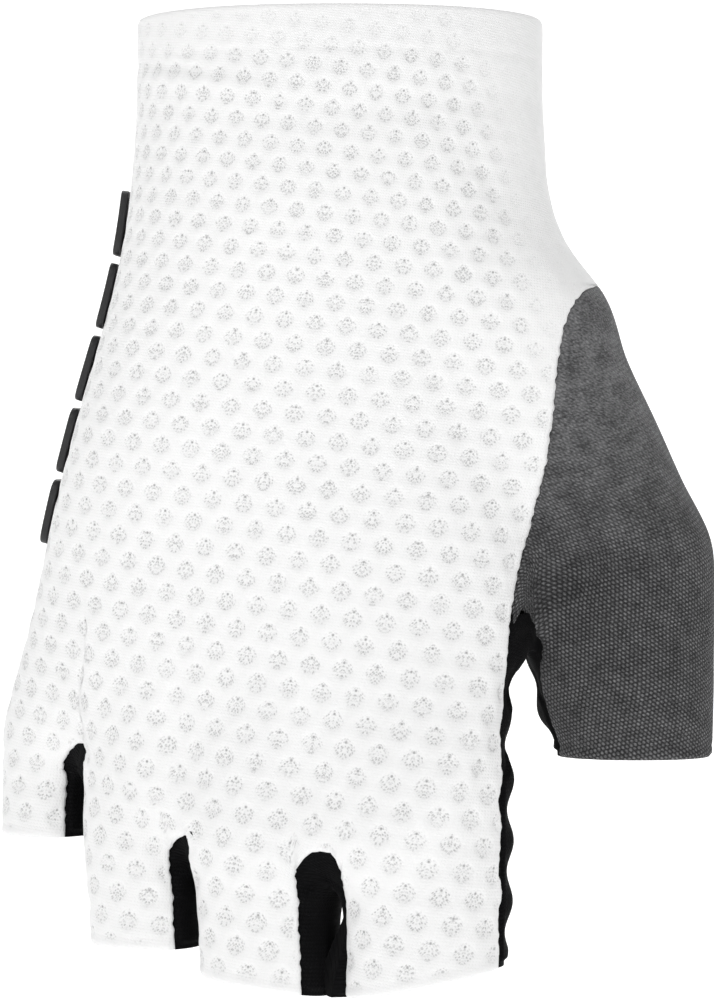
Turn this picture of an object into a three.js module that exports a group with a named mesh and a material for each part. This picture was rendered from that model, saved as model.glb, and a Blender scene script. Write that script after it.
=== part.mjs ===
// A right-hand short-finger cycling glove, worn: fingers down, cuff up, back of the hand towards -Y.
// Every piece is a curved sheet of cloth cut from one smooth hand form, with a gap where it is sewn
// to its neighbour. Lengths are in millimetres, +Z up, +X to the thumb side.
import * as THREE from 'three';

// Hand form
const palmLength = 145.7;       // cuff edge down to the web between middle and index finger
const cuffWidth = 72;
const cuffDepth = 48;
const palmDepth = 26;          // back to palm, across the knuckles
const fingerWidth = 29.6;      // index finger, side to side
const fingerDepth = 21.2;      // index finger, back to palm
const fingerLength = 25;       // web to hem, middle finger
const fingerSpacing = 1;       // between two finger tubes at the webs
const indexAcross = 15.1;      // index finger's middle from the middle of the cuff
const indexForward = 8.5;      // and towards the back of the hand
const thumbWidth = 28.5;
const thumbDepth = 25;
const thumbLength = 25;        // thumb web to hem
const thumbReach = 52.6;       // thumb's middle from the middle of the cuff, at its hem
const thumbSet = 6;            // thumb's middle behind the cuff's middle, at its hem
const thumbStart = 46.7;       // cuff edge down to the thumb sleeve's point
const webSag = 6;              // the middle of a finger web hangs this far below its seam
const thumbWebSag = 8;

// Cloth
const meshWall = 1.2;
const palmWall = 1.4;
const knitWall = 1.1;
const stripWall = 1;
const seamGap = 0.3;
const cuffHemDepth = 7.5;
const cuffHemExtra = 1;        // second layer of the cuff's turned-in hem
const fingerHemDepth = 2.2;
const fingerHemExtra = 0.4;
const hemStep = 0.4;           // length over which a hem's second layer ends

// Rubber bars
const barCount = 5;
const barLength = 11.5;
const barWidth = 9;
const barHeight = 1.3;
const barSpacing = 1.4;
const barCorner = 2.4;
const barGrooveWidth = 1;
const barGrooveDepth = 0.6;
const barStart = 29.7;         // cuff edge down to the first bar
const barAngle = -94;          // round the hand from the middle of the back, in degrees

// Seams, in degrees round the hand from the middle of the back
const outerSeamAngle = -116;
const innerSeamAngle = 96;

const lerp = THREE.MathUtils.lerp;
const clamp = THREE.MathUtils.clamp;
const radians = THREE.MathUtils.degToRad;

// Palm sections down the hand. down: share of the palm's length. The other columns run from 0, the
// cuff's value, to 1, the knuckles' value; arch moves depth from the palm side to the back.
const PALM_SECTIONS = [
  { down: 0.000, width: 0.00, shift: 0.00, turn: 0.00, depth: 0.00, arch: 0.00 },
  { down: 0.104, width: 0.01, shift: 0.00, turn: 0.00, depth: 0.03, arch: 0.00 },
  { down: 0.228, width: 0.10, shift: 0.02, turn: 0.08, depth: 0.12, arch: 0.01 },
  { down: 0.331, width: 0.24, shift: 0.09, turn: 0.20, depth: 0.27, arch: 0.03 },
  { down: 0.485, width: 0.46, shift: 0.34, turn: 0.41, depth: 0.46, arch: 0.06 },
  { down: 0.629, width: 0.66, shift: 0.57, turn: 0.65, depth: 0.66, arch: 0.10 },
  { down: 0.784, width: 0.84, shift: 0.75, turn: 0.82, depth: 0.86, arch: 0.13 },
  { down: 0.928, width: 1.00, shift: 0.92, turn: 1.00, depth: 1.00, arch: 0.15 },
  { down: 1.103, width: 1.00, shift: 1.00, turn: 1.00, depth: 1.00, arch: 0.15 },
  { down: 1.309, width: 1.00, shift: 1.00, turn: 1.00, depth: 1.00, arch: 0.15 },
];

// Thumb sections. down: share of the palm's length; out: share of thumbReach; set: share of thumbSet;
// size: share of the thumb's width and depth at its hem.
const THUMB_SECTIONS = [
  { down: 0.156, out: 0.28, set: -0.3, size: 0.50 },
  { down: 0.259, out: 0.43, set: -0.3, size: 0.90 },
  { down: 0.331, out: 0.572, set: -0.3, size: 1.15 },
  { down: 0.413, out: 0.655, set: -0.3, size: 1.16 },
  { down: 0.485, out: 0.75, set: -0.2, size: 1.16 },
  { down: 0.557, out: 0.843, set: -0.1, size: 1.15 },
  { down: 0.629, out: 0.943, set: 0.1, size: 1.145 },
  { down: 0.701, out: 0.958, set: 0.3, size: 1.15 },
  { down: 0.784, out: 0.96, set: 0.5, size: 1.145 },
  { down: 0.815, out: 0.967, set: 0.6, size: 1.12 },
  { down: 0.849, out: 0.981, set: 0.8, size: 1.07 },
  { down: 0.887, out: 1.00, set: 1.0, size: 1.00 },
  { down: 1.103, out: 1.00, set: 1.3, size: 0.98 },
];

// Seam between the back panel and the thumb sleeve, the same on the palm side.
// out: share of the way from the thumb's web to the thumb's outer edge.
const THUMB_SEAM = [
  { down: 0.321, out: 0.955 },
  { down: 0.338, out: 0.689 },
  { down: 0.354, out: 0.562 },
  { down: 0.389, out: 0.431 },
  { down: 0.457, out: 0.305 },
  { down: 0.519, out: 0.223 },
  { down: 0.606, out: 0.102 },
  { down: 0.667, out: 0.035 },
  { down: 0.725, out: 0.000 },
];

// Fingers from the little finger to the index finger. width, depth: shares of the index finger's;
// turn: degrees that its back faces away from the thumb; step: direction to the next finger; lean: sideways
// per length down; web: level of the seam over the web on its thumb side, share of the palm's length;
// length and rise: hem below its own web, and higher on its thumb side, shares of the finger length.
// backFrom, backTo: edges of the back panel round the finger; palmFrom, palmTo: edges of the palm panel.
const FINGERS = [
  {
    name: 'little', width: 0.645, depth: 0.83, turn: 45, step: 37, lean: -0.05, web: 0.881,
    length: 0.72, rise: 0, backFrom: -104, backTo: 66, palmFrom: 256, palmTo: 148, columns: 6, webWidth: 0.5,
  },
  {
    name: 'ring', width: 0.743, depth: 0.925, turn: 30, step: 26, lean: 0.05, web: 0.99,
    length: 0.83, rise: 0, backFrom: -82, backTo: 58, palmFrom: 240, palmTo: 138, columns: 6, webWidth: 0.55,
  },
  {
    name: 'middle', width: 0.90, depth: 0.97, turn: 20, step: 15.3, lean: 0.03, web: 1,
    length: 1, rise: -0.06, backFrom: -84, backTo: 42, palmFrom: 236, palmTo: 128, columns: 6, webWidth: 0.85,
  },
  {
    name: 'index', width: 1, depth: 1, turn: 0, step: 0, lean: 0, web: 1,
    length: 0.92, rise: 0.12, backFrom: -84, backTo: 61, palmFrom: 234, palmTo: 117, columns: 7, webWidth: 0,
  },
];
const OUTER_WEB = 0.866;       // where the little finger leaves the palm on its outer side
const THUMB_WEB = 0.725;       // where the thumb sleeve's seams end, share of the palm's length
const LITTLE_WEB_RISE = 0.07;  // rows rise towards the little finger, share of the palm's length

// Finger tubes fade into the palm above their webs. above: share of the palm's length; size: of the tube;
// pull: how far its middle follows the palm's own spread.
const FINGER_ROOTS = [
  { above: -0.30, size: 0.95, pull: 0.0 },
  { above: -0.12, size: 0.97, pull: 0.0 },
  { above: 0.00, size: 1.00, pull: 0.0 },
  { above: 0.10, size: 0.94, pull: 0.6 },
  { above: 0.20, size: 0.80, pull: 1.0 },
  { above: 0.32, size: 0.50, pull: 1.0 },
  { above: 0.45, size: 0.20, pull: 1.0 },
  { above: 1.10, size: 0.10, pull: 1.0 },
];

// The webs' underside rises from the index finger to the thumb's web. out: from the index finger's
// middle, share of its half width; rise: share of the way up to the thumb's web.
const THUMB_WEB_RISE = [
  { out: 0.2, rise: 0.2 },
  { out: 1.15, rise: 1 },
  { out: 2, rise: 1 },
];

const palmSquareness = 2.25;
const fingerSquareness = 2.15;
const thumbSquareness = 2.1;
const webRounding = 12;
const fingerBlend = 5;
const thumbBlend = 12;

// Values between the rows of a table, on a smooth curve through them
function readTable(table, key, at) {
  const last = table.length - 1;
  const place = clamp(at, table[0][key], table[last][key]);
  let row = 0;
  while (row < last - 1 && table[row + 1][key] < place) row += 1;
  const before = table[Math.max(row - 1, 0)];
  const start = table[row];
  const end = table[row + 1];
  const after = table[Math.min(row + 2, last)];
  const span = end[key] - start[key];
  const t = (place - start[key]) / span;
  const values = {};
  for (const column of Object.keys(start)) {
    const startSlope = (end[column] - before[column]) / (end[key] - before[key]);
    const endSlope = (after[column] - start[column]) / (after[key] - start[key]);
    const square = t * t;
    const cube = square * t;
    values[column] = (2 * cube - 3 * square + 1) * start[column]
      + (cube - 2 * square + t) * span * startSlope
      + (3 * square - 2 * cube) * end[column]
      + (cube - square) * span * endSlope;
  }
  return values;
}

function smoothMin(a, b, reach) {
  const overlap = Math.max(reach - Math.abs(a - b), 0) / reach;
  return Math.min(a, b) - overlap * overlap * reach / 4;
}

function smoothMax(a, b, reach) {
  return -smoothMin(-a, -b, reach);
}

// Finger places, chained along the arch of the knuckles from the index finger outwards
function placeFingers() {
  const places = [];
  let x = indexAcross;
  let y = -indexForward;
  for (let i = FINGERS.length - 1; i >= 0; i -= 1) {
    const finger = FINGERS[i];
    const halfWidth = fingerWidth * finger.width / 2;
    if (i < FINGERS.length - 1) {
      const stride = halfWidth + places[0].halfWidth + fingerSpacing;
      x -= stride * Math.cos(radians(finger.step));
      y += stride * Math.sin(radians(finger.step));
    }
    places.unshift({ x, y, halfWidth, halfDepth: fingerDepth * finger.depth / 2 });
  }
  return places;
}

const fingerPlaces = placeFingers();
const littlePlace = fingerPlaces[0];
const indexPlace = fingerPlaces[FINGERS.length - 1];

// The palm's section at the knuckles spans the row of fingers
function placeKnuckles() {
  const acrossX = indexPlace.x - littlePlace.x;
  const acrossY = indexPlace.y - littlePlace.y;
  const length = Math.hypot(acrossX, acrossY);
  const offset = (indexPlace.halfWidth - littlePlace.halfWidth) / 2 / length;
  return {
    x: (indexPlace.x + littlePlace.x) / 2 + acrossX * offset,
    y: (indexPlace.y + littlePlace.y) / 2 + acrossY * offset,
    halfWidth: (length + indexPlace.halfWidth + littlePlace.halfWidth) / 2,
    turn: Math.atan2(-acrossY, acrossX),
  };
}

const knuckles = placeKnuckles();

function palmSection(z) {
  const row = readTable(PALM_SECTIONS, 'down', -z / palmLength);
  const halfDepth = lerp(cuffDepth, palmDepth, row.depth) / 2;
  return {
    x: knuckles.x * row.shift,
    y: knuckles.y * row.shift,
    halfWidth: lerp(cuffWidth / 2, knuckles.halfWidth, row.width),
    back: halfDepth * (1 + row.arch),
    palm: halfDepth * (1 - row.arch),
    turn: knuckles.turn * row.turn,
    squareness: palmSquareness,
  };
}

// Above its web a finger runs back into the palm and closes in with it
function fingerSection(i, z) {
  const finger = FINGERS[i];
  const place = fingerPlaces[i];
  const below = -finger.web * palmLength - z;
  const { size, pull } = readTable(FINGER_ROOTS, 'above', -below / palmLength);
  const palm = palmSection(z);
  const spread = palm.halfWidth / knuckles.halfWidth;
  return {
    x: lerp(place.x + finger.lean * below, palm.x + (place.x - knuckles.x) * spread, pull),
    y: lerp(place.y, palm.y + (place.y - knuckles.y) * palm.turn / knuckles.turn, pull),
    halfWidth: place.halfWidth * size,
    back: place.halfDepth * size,
    palm: place.halfDepth * size,
    turn: radians(finger.turn),
    squareness: fingerSquareness,
  };
}

function thumbSection(z) {
  const row = readTable(THUMB_SECTIONS, 'down', -z / palmLength);
  return {
    x: thumbReach * row.out,
    y: thumbSet * row.set,
    halfWidth: thumbWidth / 2 * row.size,
    back: thumbDepth / 2 * row.size,
    palm: thumbDepth / 2 * row.size,
    turn: 0,
    squareness: thumbSquareness,
  };
}

// How far a point of the section's plane lies outside its outline, less than 0 inside
function sectionField(section, x, y) {
  const dx = x - section.x;
  const dy = y - section.y;
  const across = dx * Math.cos(section.turn) - dy * Math.sin(section.turn);
  const through = dx * Math.sin(section.turn) + dy * Math.cos(section.turn);
  const depth = through < 0 ? section.back : section.palm;
  const power = section.squareness;
  const ratio = (Math.abs(across / section.halfWidth) ** power + Math.abs(through / depth) ** power) ** (1 / power);
  const length = Math.hypot(across, through);
  return ratio === 0 ? -depth : length * (1 - 1 / ratio);
}

// A point on the section's outline or along its ray, at an angle from the middle of its back
function sectionPoint(section, angle, z, reach = 1) {
  const across = section.halfWidth * Math.sin(radians(angle)) * reach;
  const cosine = Math.cos(radians(angle));
  const through = -cosine * (cosine > 0 ? section.back : section.palm) * reach;
  return new THREE.Vector3(
    section.x + across * Math.cos(section.turn) + through * Math.sin(section.turn),
    section.y - across * Math.sin(section.turn) + through * Math.cos(section.turn),
    z,
  );
}

function sectionAngle(section, point) {
  const dx = point.x - section.x;
  const dy = point.y - section.y;
  const across = dx * Math.cos(section.turn) - dy * Math.sin(section.turn);
  const through = dx * Math.sin(section.turn) + dy * Math.cos(section.turn);
  const depth = through < 0 ? section.back : section.palm;
  return THREE.MathUtils.radToDeg(Math.atan2(across / section.halfWidth, -through / depth));
}

// The webs' underside: a level for each place across the hand, between the fingers and before the thumb
function webTable() {
  const rows = [];
  const webs = FINGERS.slice(0, -1).map((finger) => -finger.web * palmLength - webSag);
  const thumbWeb = -THUMB_WEB * palmLength - thumbWebSag;
  rows.push({ x: littlePlace.x - littlePlace.halfWidth, level: webs[0] });
  for (let i = 0; i < webs.length; i += 1) {
    const left = fingerPlaces[i];
    const right = fingerPlaces[i + 1];
    const share = left.halfWidth / (left.halfWidth + right.halfWidth);
    rows.push({ x: lerp(left.x, right.x, share), level: webs[i] });
  }
  for (const { out, rise } of THUMB_WEB_RISE) {
    rows.push({ x: indexPlace.x + indexPlace.halfWidth * out, level: lerp(webs[webs.length - 1], thumbWeb, rise) });
  }
  return rows;
}

const WEB_LEVELS = webTable();

// The hand form: less than 0 inside, 0 on the glove's outer face
function handField(x, y, z) {
  const palm = sectionField(palmSection(z), x, y);
  const underside = readTable(WEB_LEVELS, 'x', x).level - z;
  let fingers = Infinity;
  for (let i = 0; i < FINGERS.length; i += 1) {
    fingers = Math.min(fingers, sectionField(fingerSection(i, z), x, y));
  }
  const hand = smoothMin(smoothMax(palm, underside, webRounding), fingers, fingerBlend);
  return smoothMin(hand, sectionField(thumbSection(z), x, y), thumbBlend);
}

function handSlope(point) {
  const probe = 0.05;
  const { x, y, z } = point;
  return new THREE.Vector3(
    handField(x + probe, y, z) - handField(x - probe, y, z),
    handField(x, y + probe, z) - handField(x, y - probe, z),
    handField(x, y, z + probe) - handField(x, y, z - probe),
  ).divideScalar(2 * probe);
}

// The nearest point of the form's face
function settle(point) {
  const settled = point.clone();
  const rounds = 12;
  const longestMove = 2.5;
  for (let round = 0; round < rounds; round += 1) {
    const slope = handSlope(settled);
    const move = slope.multiplyScalar(handField(settled.x, settled.y, settled.z) / slope.lengthSq());
    settled.sub(move.clampLength(0, longestMove));
  }
  return settled;
}

function bisect(start, end) {
  let inside = start.clone();
  let outside = end.clone();
  const halvings = 30;
  for (let step = 0; step < halvings; step += 1) {
    const middle = inside.clone().lerp(outside, 0.5);
    if (handField(middle.x, middle.y, middle.z) < 0) inside = middle;
    else outside = middle;
  }
  return inside.lerp(outside, 0.5);
}

// The face met along a section's ray, at an angle from the middle of its back
function faceAtAngle(section, angle, z) {
  const stride = 0.04;
  let reach = 0.4;
  while (handField(...sectionPoint(section, angle, z, reach).toArray()) < 0) reach += stride;
  return bisect(sectionPoint(section, angle, z, reach - stride), sectionPoint(section, angle, z, reach));
}

// The face seen at x and z from the back of the hand (side 1) or from the palm (side -1)
function faceAtPlace(side, x, z) {
  const stride = 0.5;
  const farAway = cuffDepth + thumbDepth;
  let y = -side * farAway;
  while (handField(x, y, z) > 0 && Math.abs(y) <= farAway) y += side * stride;
  return bisect(new THREE.Vector3(x, y, z), new THREE.Vector3(x, y - side * stride, z));
}

// A sheet of four-sided cells on the form's face
class Sheet {
  constructor() {
    this.points = [];
    this.walls = [];
    this.keys = new Map();
    this.cells = [];
  }

  point(position, wall) {
    const key = position.toArray().map((value) => value.toFixed(4)).join(' ');
    if (!this.keys.has(key)) {
      this.keys.set(key, this.points.length);
      this.points.push(position.clone());
      this.walls.push(wall);
    }
    return this.keys.get(key);
  }

  // rows: lists of points, each list as long as the next
  addRows(rows, wallAt) {
    for (let r = 0; r + 1 < rows.length; r += 1) {
      for (let c = 0; c + 1 < rows[r].length; c += 1) {
        const corners = [rows[r][c], rows[r + 1][c], rows[r + 1][c + 1], rows[r][c + 1]];
        this.cells.push(corners.map((corner) => this.point(corner, wallAt(corner))));
      }
    }
  }

  triangles() {
    const triangles = [];
    let facing = 0;
    for (const [a, b, c, d] of this.cells) {
      for (const triangle of [[a, b, c], [a, c, d]]) {
        if (new Set(triangle).size === 3) {
          triangles.push(triangle);
          facing += this.faceNormal(triangle).dot(handSlope(this.points[triangle[0]]));
        }
      }
    }
    return facing > 0 ? triangles : triangles.map(([a, b, c]) => [a, c, b]);
  }

  faceNormal([a, b, c]) {
    const edge = this.points[b].clone().sub(this.points[a]);
    return edge.cross(this.points[c].clone().sub(this.points[a]));
  }

  // Free edges of the sheet, each as [from, to] in the direction of its triangle
  freeEdges(triangles) {
    const edges = new Map();
    for (const triangle of triangles) {
      for (let i = 0; i < 3; i += 1) {
        const from = triangle[i];
        const to = triangle[(i + 1) % 3];
        if (!edges.delete(`${to} ${from}`)) edges.set(`${from} ${to}`, [from, to]);
      }
    }
    return [...edges.values()];
  }

  // Moves the edge points into the sheet, so that neighbours keep the seam's gap
  drawIn(edges, normals, distance) {
    const sharpest = 0.35;
    const inward = this.points.map(() => []);
    for (const [from, to] of edges) {
      const along = this.points[to].clone().sub(this.points[from]).normalize();
      for (const end of [from, to]) inward[end].push(normals[end].clone().cross(along).normalize());
    }
    this.points.forEach((point, i) => {
      if (inward[i].length < 2) return;
      const middle = inward[i][0].clone().add(inward[i][1]).normalize();
      point.addScaledVector(middle, distance / Math.max(middle.dot(inward[i][0]), sharpest));
    });
  }

  // The closed solid between two heights over the face; heights are functions of the point's number
  solid(lower, upper, draw) {
    const triangles = this.triangles();
    const edges = this.freeEdges(triangles);
    const normals = this.points.map((point) => handSlope(point).normalize());
    this.drawIn(edges, normals, draw);
    const count = this.points.length;
    const positions = [];
    for (const height of [upper, lower]) {
      this.points.forEach((point, i) => positions.push(...point.clone().addScaledVector(normals[i], height(i)).toArray()));
    }
    const faces = [];
    for (const [a, b, c] of triangles) faces.push(a, b, c, a + count, c + count, b + count);
    for (const [from, to] of edges) {
      const fromHigher = this.points[from].z > this.points[to].z;
      if (fromHigher) faces.push(to, from, to + count, from, from + count, to + count);
      else faces.push(to, from, from + count, to, from + count, to + count);
    }
    const geometry = new THREE.BufferGeometry();
    geometry.setAttribute('position', new THREE.Float32BufferAttribute(positions, 3));
    geometry.setIndex(faces);
    geometry.computeVertexNormals();
    return geometry;
  }

  cloth() {
    return this.solid((i) => -this.walls[i], () => 0, seamGap / 2);
  }
}

// Rows of the palm from the cuff to the webs; levels differ across the hand
const cuffRows = [0, cuffHemDepth, cuffHemDepth + hemStep];
const rowsToThumb = 6;
const rowsAlongThumb = 11;
const thumbRowCrowding = 1.6;  // rows stand closer below the sleeve's point
const webRowCrowding = 1.4;    // and below the webs
const rowsToWebs = 5;
const rowsDownFinger = 4;
const fingerTurning = 0.5;     // below 1, a finger's lines reach their places round it early

// across: 0 at the outer seam, 1 at the thumb side; webLevel: the last row's level at this line
function palmLevels(across, webLevel) {
  const levels = cuffRows.map((depth) => -depth);
  const thumbWeb = -palmLength * (THUMB_WEB - LITTLE_WEB_RISE * (1 - across));
  const zones = [
    { end: -thumbStart, rows: rowsToThumb, crowding: 1 },
    { end: thumbWeb, rows: rowsAlongThumb, crowding: thumbRowCrowding },
    { end: webLevel, rows: rowsToWebs, crowding: webRowCrowding },
  ];
  for (const { end, rows, crowding } of zones) {
    const start = levels[levels.length - 1];
    for (let row = 1; row <= rows; row += 1) levels.push(lerp(start, end, (row / rows) ** crowding));
  }
  return levels;
}

const thumbStartRow = cuffRows.length - 1 + rowsToThumb;
const thumbWebRow = thumbStartRow + rowsAlongThumb;
const webRow = thumbWebRow + rowsToWebs;

// The palm's edge at the thumb side, on the back (side 1) or the palm (side -1)
function thumbSideEdge(side, z) {
  const palm = palmSection(z);
  if (z >= -thumbStart) return faceAtAngle(palm, innerSeamAngle, z);
  const thumb = thumbSection(z);
  const down = -z / palmLength;
  const webPlace = indexPlace.x + indexPlace.halfWidth;
  if (down <= THUMB_WEB) {
    const { out } = readTable(THUMB_SEAM, 'down', down);
    return faceAtPlace(side, lerp(webPlace, thumb.x + thumb.halfWidth, out), z);
  }
  const index = fingerSection(FINGERS.length - 1, z);
  const edgeAngle = side > 0 ? FINGERS[FINGERS.length - 1].backTo : FINGERS[FINGERS.length - 1].palmTo;
  const fingerShare = Math.sin(radians(edgeAngle));
  const settledShare = clamp((down - THUMB_WEB) / (1 - THUMB_WEB) * 2, 0, 1);
  return faceAtPlace(side, lerp(webPlace, index.x + index.halfWidth * fingerShare, settledShare), z);
}

function hemLevel(i, angle) {
  const finger = FINGERS[i];
  const toThumb = Math.sin(radians(angle - finger.turn));
  return -finger.web * palmLength - fingerLength * (finger.length - finger.rise * toThumb);
}

// Lines down one side of the glove: each belongs to a finger and stands at an angle round it
function panelLines(side) {
  const lines = [];
  FINGERS.forEach((finger, i) => {
    const from = side > 0 ? finger.backFrom : finger.palmFrom;
    const to = side > 0 ? finger.backTo : finger.palmTo;
    const webBefore = i > 0 ? FINGERS[i - 1].web : OUTER_WEB;
    for (let column = 0; column <= finger.columns; column += 1) {
      const share = column / finger.columns;
      const webLevel = -palmLength * lerp(webBefore, finger.web, share);
      lines.push({ finger: i, share, angle: lerp(from, to, share), webLevel });
    }
  });
  return lines;
}

// The last palm row: points over each finger, drawn together over the webs
function webPoints(side, lines) {
  const points = lines.map((line) => sectionPoint(fingerSection(line.finger, line.webLevel), line.angle, line.webLevel));
  for (let i = 0; i + 1 < lines.length; i += 1) {
    if (lines[i].finger !== lines[i + 1].finger) {
      const middle = points[i].clone().lerp(points[i + 1], 0.5);
      const { webWidth } = FINGERS[lines[i].finger];
      points[i].lerpVectors(middle, points[i], webWidth);
      points[i + 1].lerpVectors(middle, points[i + 1], webWidth);
    }
  }
  const outerPoints = Math.round(FINGERS[0].columns / 2);
  return points.map((point, i) => (i < outerPoints ? settle(point) : faceAtPlace(side, point.x, point.z)));
}

const wholeTurn = 360;
const edgeCrowding = 4;        // how closely the lines near the thumb side follow its seam

// The mean of a row's value and its neighbours'
function evenedOut(values, row) {
  const reach = 5;
  const near = values.slice(Math.max(row - reach, 0), row + reach + 1);
  return near.reduce((sum, value) => sum + value, 0) / near.length;
}

function sidePanel(side) {
  const lines = panelLines(side);
  const webs = webPoints(side, lines);
  webs[webs.length - 1] = thumbSideEdge(side, lines[lines.length - 1].webLevel);
  const turnOf = (angle) => (side > 0 || angle > 0 ? angle : angle + wholeTurn);
  const webAngles = webs.map((point) => turnOf(sectionAngle(palmSection(point.z), point)));
  const webShares = webAngles.map((angle) => (angle - webAngles[0]) / (webAngles[webs.length - 1] - webAngles[0]));
  const last = lines.length - 1;
  const edges = palmLevels(1, lines[last].webLevel).map((z) => thumbSideEdge(side, z));
  const ends = edges.map((edge) => turnOf(sectionAngle(palmSection(edge.z), edge)));
  const calmEnds = ends.map((end, row) => evenedOut(ends, row));
  const rows = [];
  for (let row = 0; row < webRow; row += 1) {
    const blend = THREE.MathUtils.smoothstep(row / webRow, 0.1, 1);
    const start = turnOf(lerp(outerSeamAngle, sectionAngle(palmSection(webs[0].z), webs[0]), blend));
    rows.push(lines.map((line, i) => {
      if (i === last) return edges[row];
      const across = i / last;
      const z = palmLevels(across, line.webLevel)[row];
      const share = lerp(across, webShares[i], blend);
      const atEdge = (ends[row] - calmEnds[row]) * share ** edgeCrowding;
      return faceAtAngle(palmSection(z), lerp(start, calmEnds[row], share) + atEdge, z);
    }));
  }
  rows.push(webs);
  return { lines, rows, fingers: FINGERS.map((finger, i) => fingerRows(lines, webs, i)) };
}

// Rows down one finger from the webs to its hem
function fingerRows(lines, webs, i) {
  const rows = [];
  const numbers = lines.map((line, number) => number).filter((number) => lines[number].finger === i);
  const shares = [];
  for (let row = 0; row < rowsDownFinger; row += 1) shares.push((row / rowsDownFinger) ** webRowCrowding);
  const hemShare = fingerHemDepth / fingerLength;
  const stepShare = hemStep / fingerLength;
  const lastPlain = shares.findIndex((share) => share > 1 - hemShare - 2 * stepShare);
  if (lastPlain > 0) shares.length = lastPlain;
  shares.push(1 - hemShare - stepShare, 1 - hemShare, 1);
  for (const share of shares) {
    rows.push(numbers.map((number) => {
      if (share === 0) return webs[number];
      const line = lines[number];
      const webAngle = sectionAngle(fingerSection(i, webs[number].z), webs[number]);
      const start = webAngle < line.angle - wholeTurn / 2 ? webAngle + wholeTurn : webAngle;
      const angle = lerp(start, line.angle, share ** fingerTurning);
      const z = lerp(webs[number].z, hemLevel(i, line.angle), share);
      return settle(sectionPoint(fingerSection(i, z), angle, z));
    }));
  }
  return rows;
}

const backSide = sidePanel(1);
const palmSide = sidePanel(-1);

// Wall thickness with the hems' second layers
function hemmedWall(wall) {
  return (point) => (point.z > -cuffHemDepth - hemStep / 2 ? wall + cuffHemExtra : wall);
}

function addFingerRows(sheet, rows, wall) {
  const hemRows = 2;
  const plainRows = rows.length - hemRows;
  sheet.addRows(rows.slice(0, plainRows), () => wall);
  const walls = new Map();
  rows.forEach((row, r) => row.forEach((point) => walls.set(point, r < plainRows ? wall : wall + fingerHemExtra)));
  sheet.addRows(rows.slice(plainRows - 1), (point) => walls.get(point));
}

function panelGeometry(panel, wall) {
  const sheet = new Sheet();
  sheet.addRows(panel.rows, hemmedWall(wall));
  for (const rows of panel.fingers) addFingerRows(sheet, rows, wall);
  return sheet.cloth();
}

// The thumb sleeve's lines run round the thumb from the back's seam to the palm's seam. Over the web
// there is one more column at each end, which stops at the side strip.
const thumbEdgeAngle = 76;     // where the tube's first and last line stand, from the middle of its back
const thumbPalmEdge = 236;
const thumbTopAngle = 30;      // lines up to here are seen from the back, and as many from the palm
const thumbTopColumns = 3;
const thumbOuterColumns = 6;
const leastColumn = 0.7;       // narrowest column there, share of an even one
const thumbShoulder = 0.55;    // where those lines end, at least, from the seam to the outer edge
const thumbColumns = 2 * thumbTopColumns + thumbOuterColumns;
const tubeTurning = 0.7;       // below 1, the tube's lines reach their places round it early

function thumbAngle(column) {
  if (column < thumbTopColumns) return lerp(-thumbEdgeAngle, -thumbTopAngle, column / thumbTopColumns);
  const fromPalm = thumbColumns - column;
  if (fromPalm < thumbTopColumns) return lerp(thumbPalmEdge, wholeTurn / 2 + thumbTopAngle, fromPalm / thumbTopColumns);
  const share = (column - thumbTopColumns) / thumbOuterColumns;
  return lerp(-thumbTopAngle, wholeTurn / 2 + thumbTopAngle, share);
}

// One row of the sleeve's upper part, from the back's seam round the thumb to the palm's seam
function thumbRow(row) {
  const back = backSide.rows[row][backSide.lines.length - 1];
  const palm = palmSide.rows[row][palmSide.lines.length - 1];
  const section = thumbSection(back.z);
  const towardsWeb = THREE.MathUtils.smoothstep(row, thumbStartRow, thumbWebRow);
  const tubeTop = sectionPoint(section, thumbAngle(thumbTopColumns), back.z).x;
  const shoulder = Math.max(tubeTop, lerp(back.x, section.x + section.halfWidth, thumbShoulder));
  const start = sectionAngle(section, faceAtPlace(1, shoulder, back.z));
  const end = sectionAngle(section, faceAtPlace(-1, shoulder, back.z));
  const points = [back];
  for (let column = 0; column <= thumbColumns; column += 1) {
    const fromEdge = Math.min(column, thumbColumns - column);
    if (fromEdge < thumbTopColumns) {
      const even = lerp(back.x, shoulder, (fromEdge + 1) / (thumbTopColumns + 1));
      const place = lerp(even, sectionPoint(section, thumbAngle(column), back.z).x, towardsWeb);
      const clear = lerp(back.x, even, leastColumn);
      points.push(faceAtPlace(column < thumbColumns / 2 ? 1 : -1, Math.max(place, clear), back.z));
    } else {
      const share = (column - thumbTopColumns) / thumbOuterColumns;
      points.push(faceAtAngle(section, lerp(start, end < start ? end + wholeTurn : end, share), back.z));
    }
  }
  points.push(palm);
  return points;
}

function thumbRows() {
  const start = backSide.rows[thumbStartRow][backSide.lines.length - 1];
  const rows = [new Array(thumbColumns + 3).fill(start)];
  for (let row = thumbStartRow + 1; row <= thumbWebRow; row += 1) rows.push(thumbRow(row));
  return rows;
}

function thumbTubeRows(top) {
  const hem = -THUMB_WEB * palmLength - thumbLength;
  const hemEnd = hem + fingerHemDepth;
  const rows = [top];
  const plainRows = 4;
  const levels = [];
  for (let row = 1; row <= plainRows; row += 1) {
    levels.push(lerp(top[0].z, hemEnd + hemStep, (row / plainRows) ** webRowCrowding));
  }
  levels.push(hemEnd, hem);
  const topAngles = top.map((point, column) => {
    const angle = sectionAngle(thumbSection(point.z), point);
    return column > thumbColumns / 2 && angle < 0 ? angle + wholeTurn : angle;
  });
  for (const z of levels) {
    const turned = ((top[0].z - z) / (top[0].z - hem)) ** tubeTurning;
    rows.push(top.map((point, column) => {
      const angle = lerp(topAngles[column], thumbAngle(column), turned);
      return settle(sectionPoint(thumbSection(z), angle, z));
    }));
  }
  return rows;
}

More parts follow.
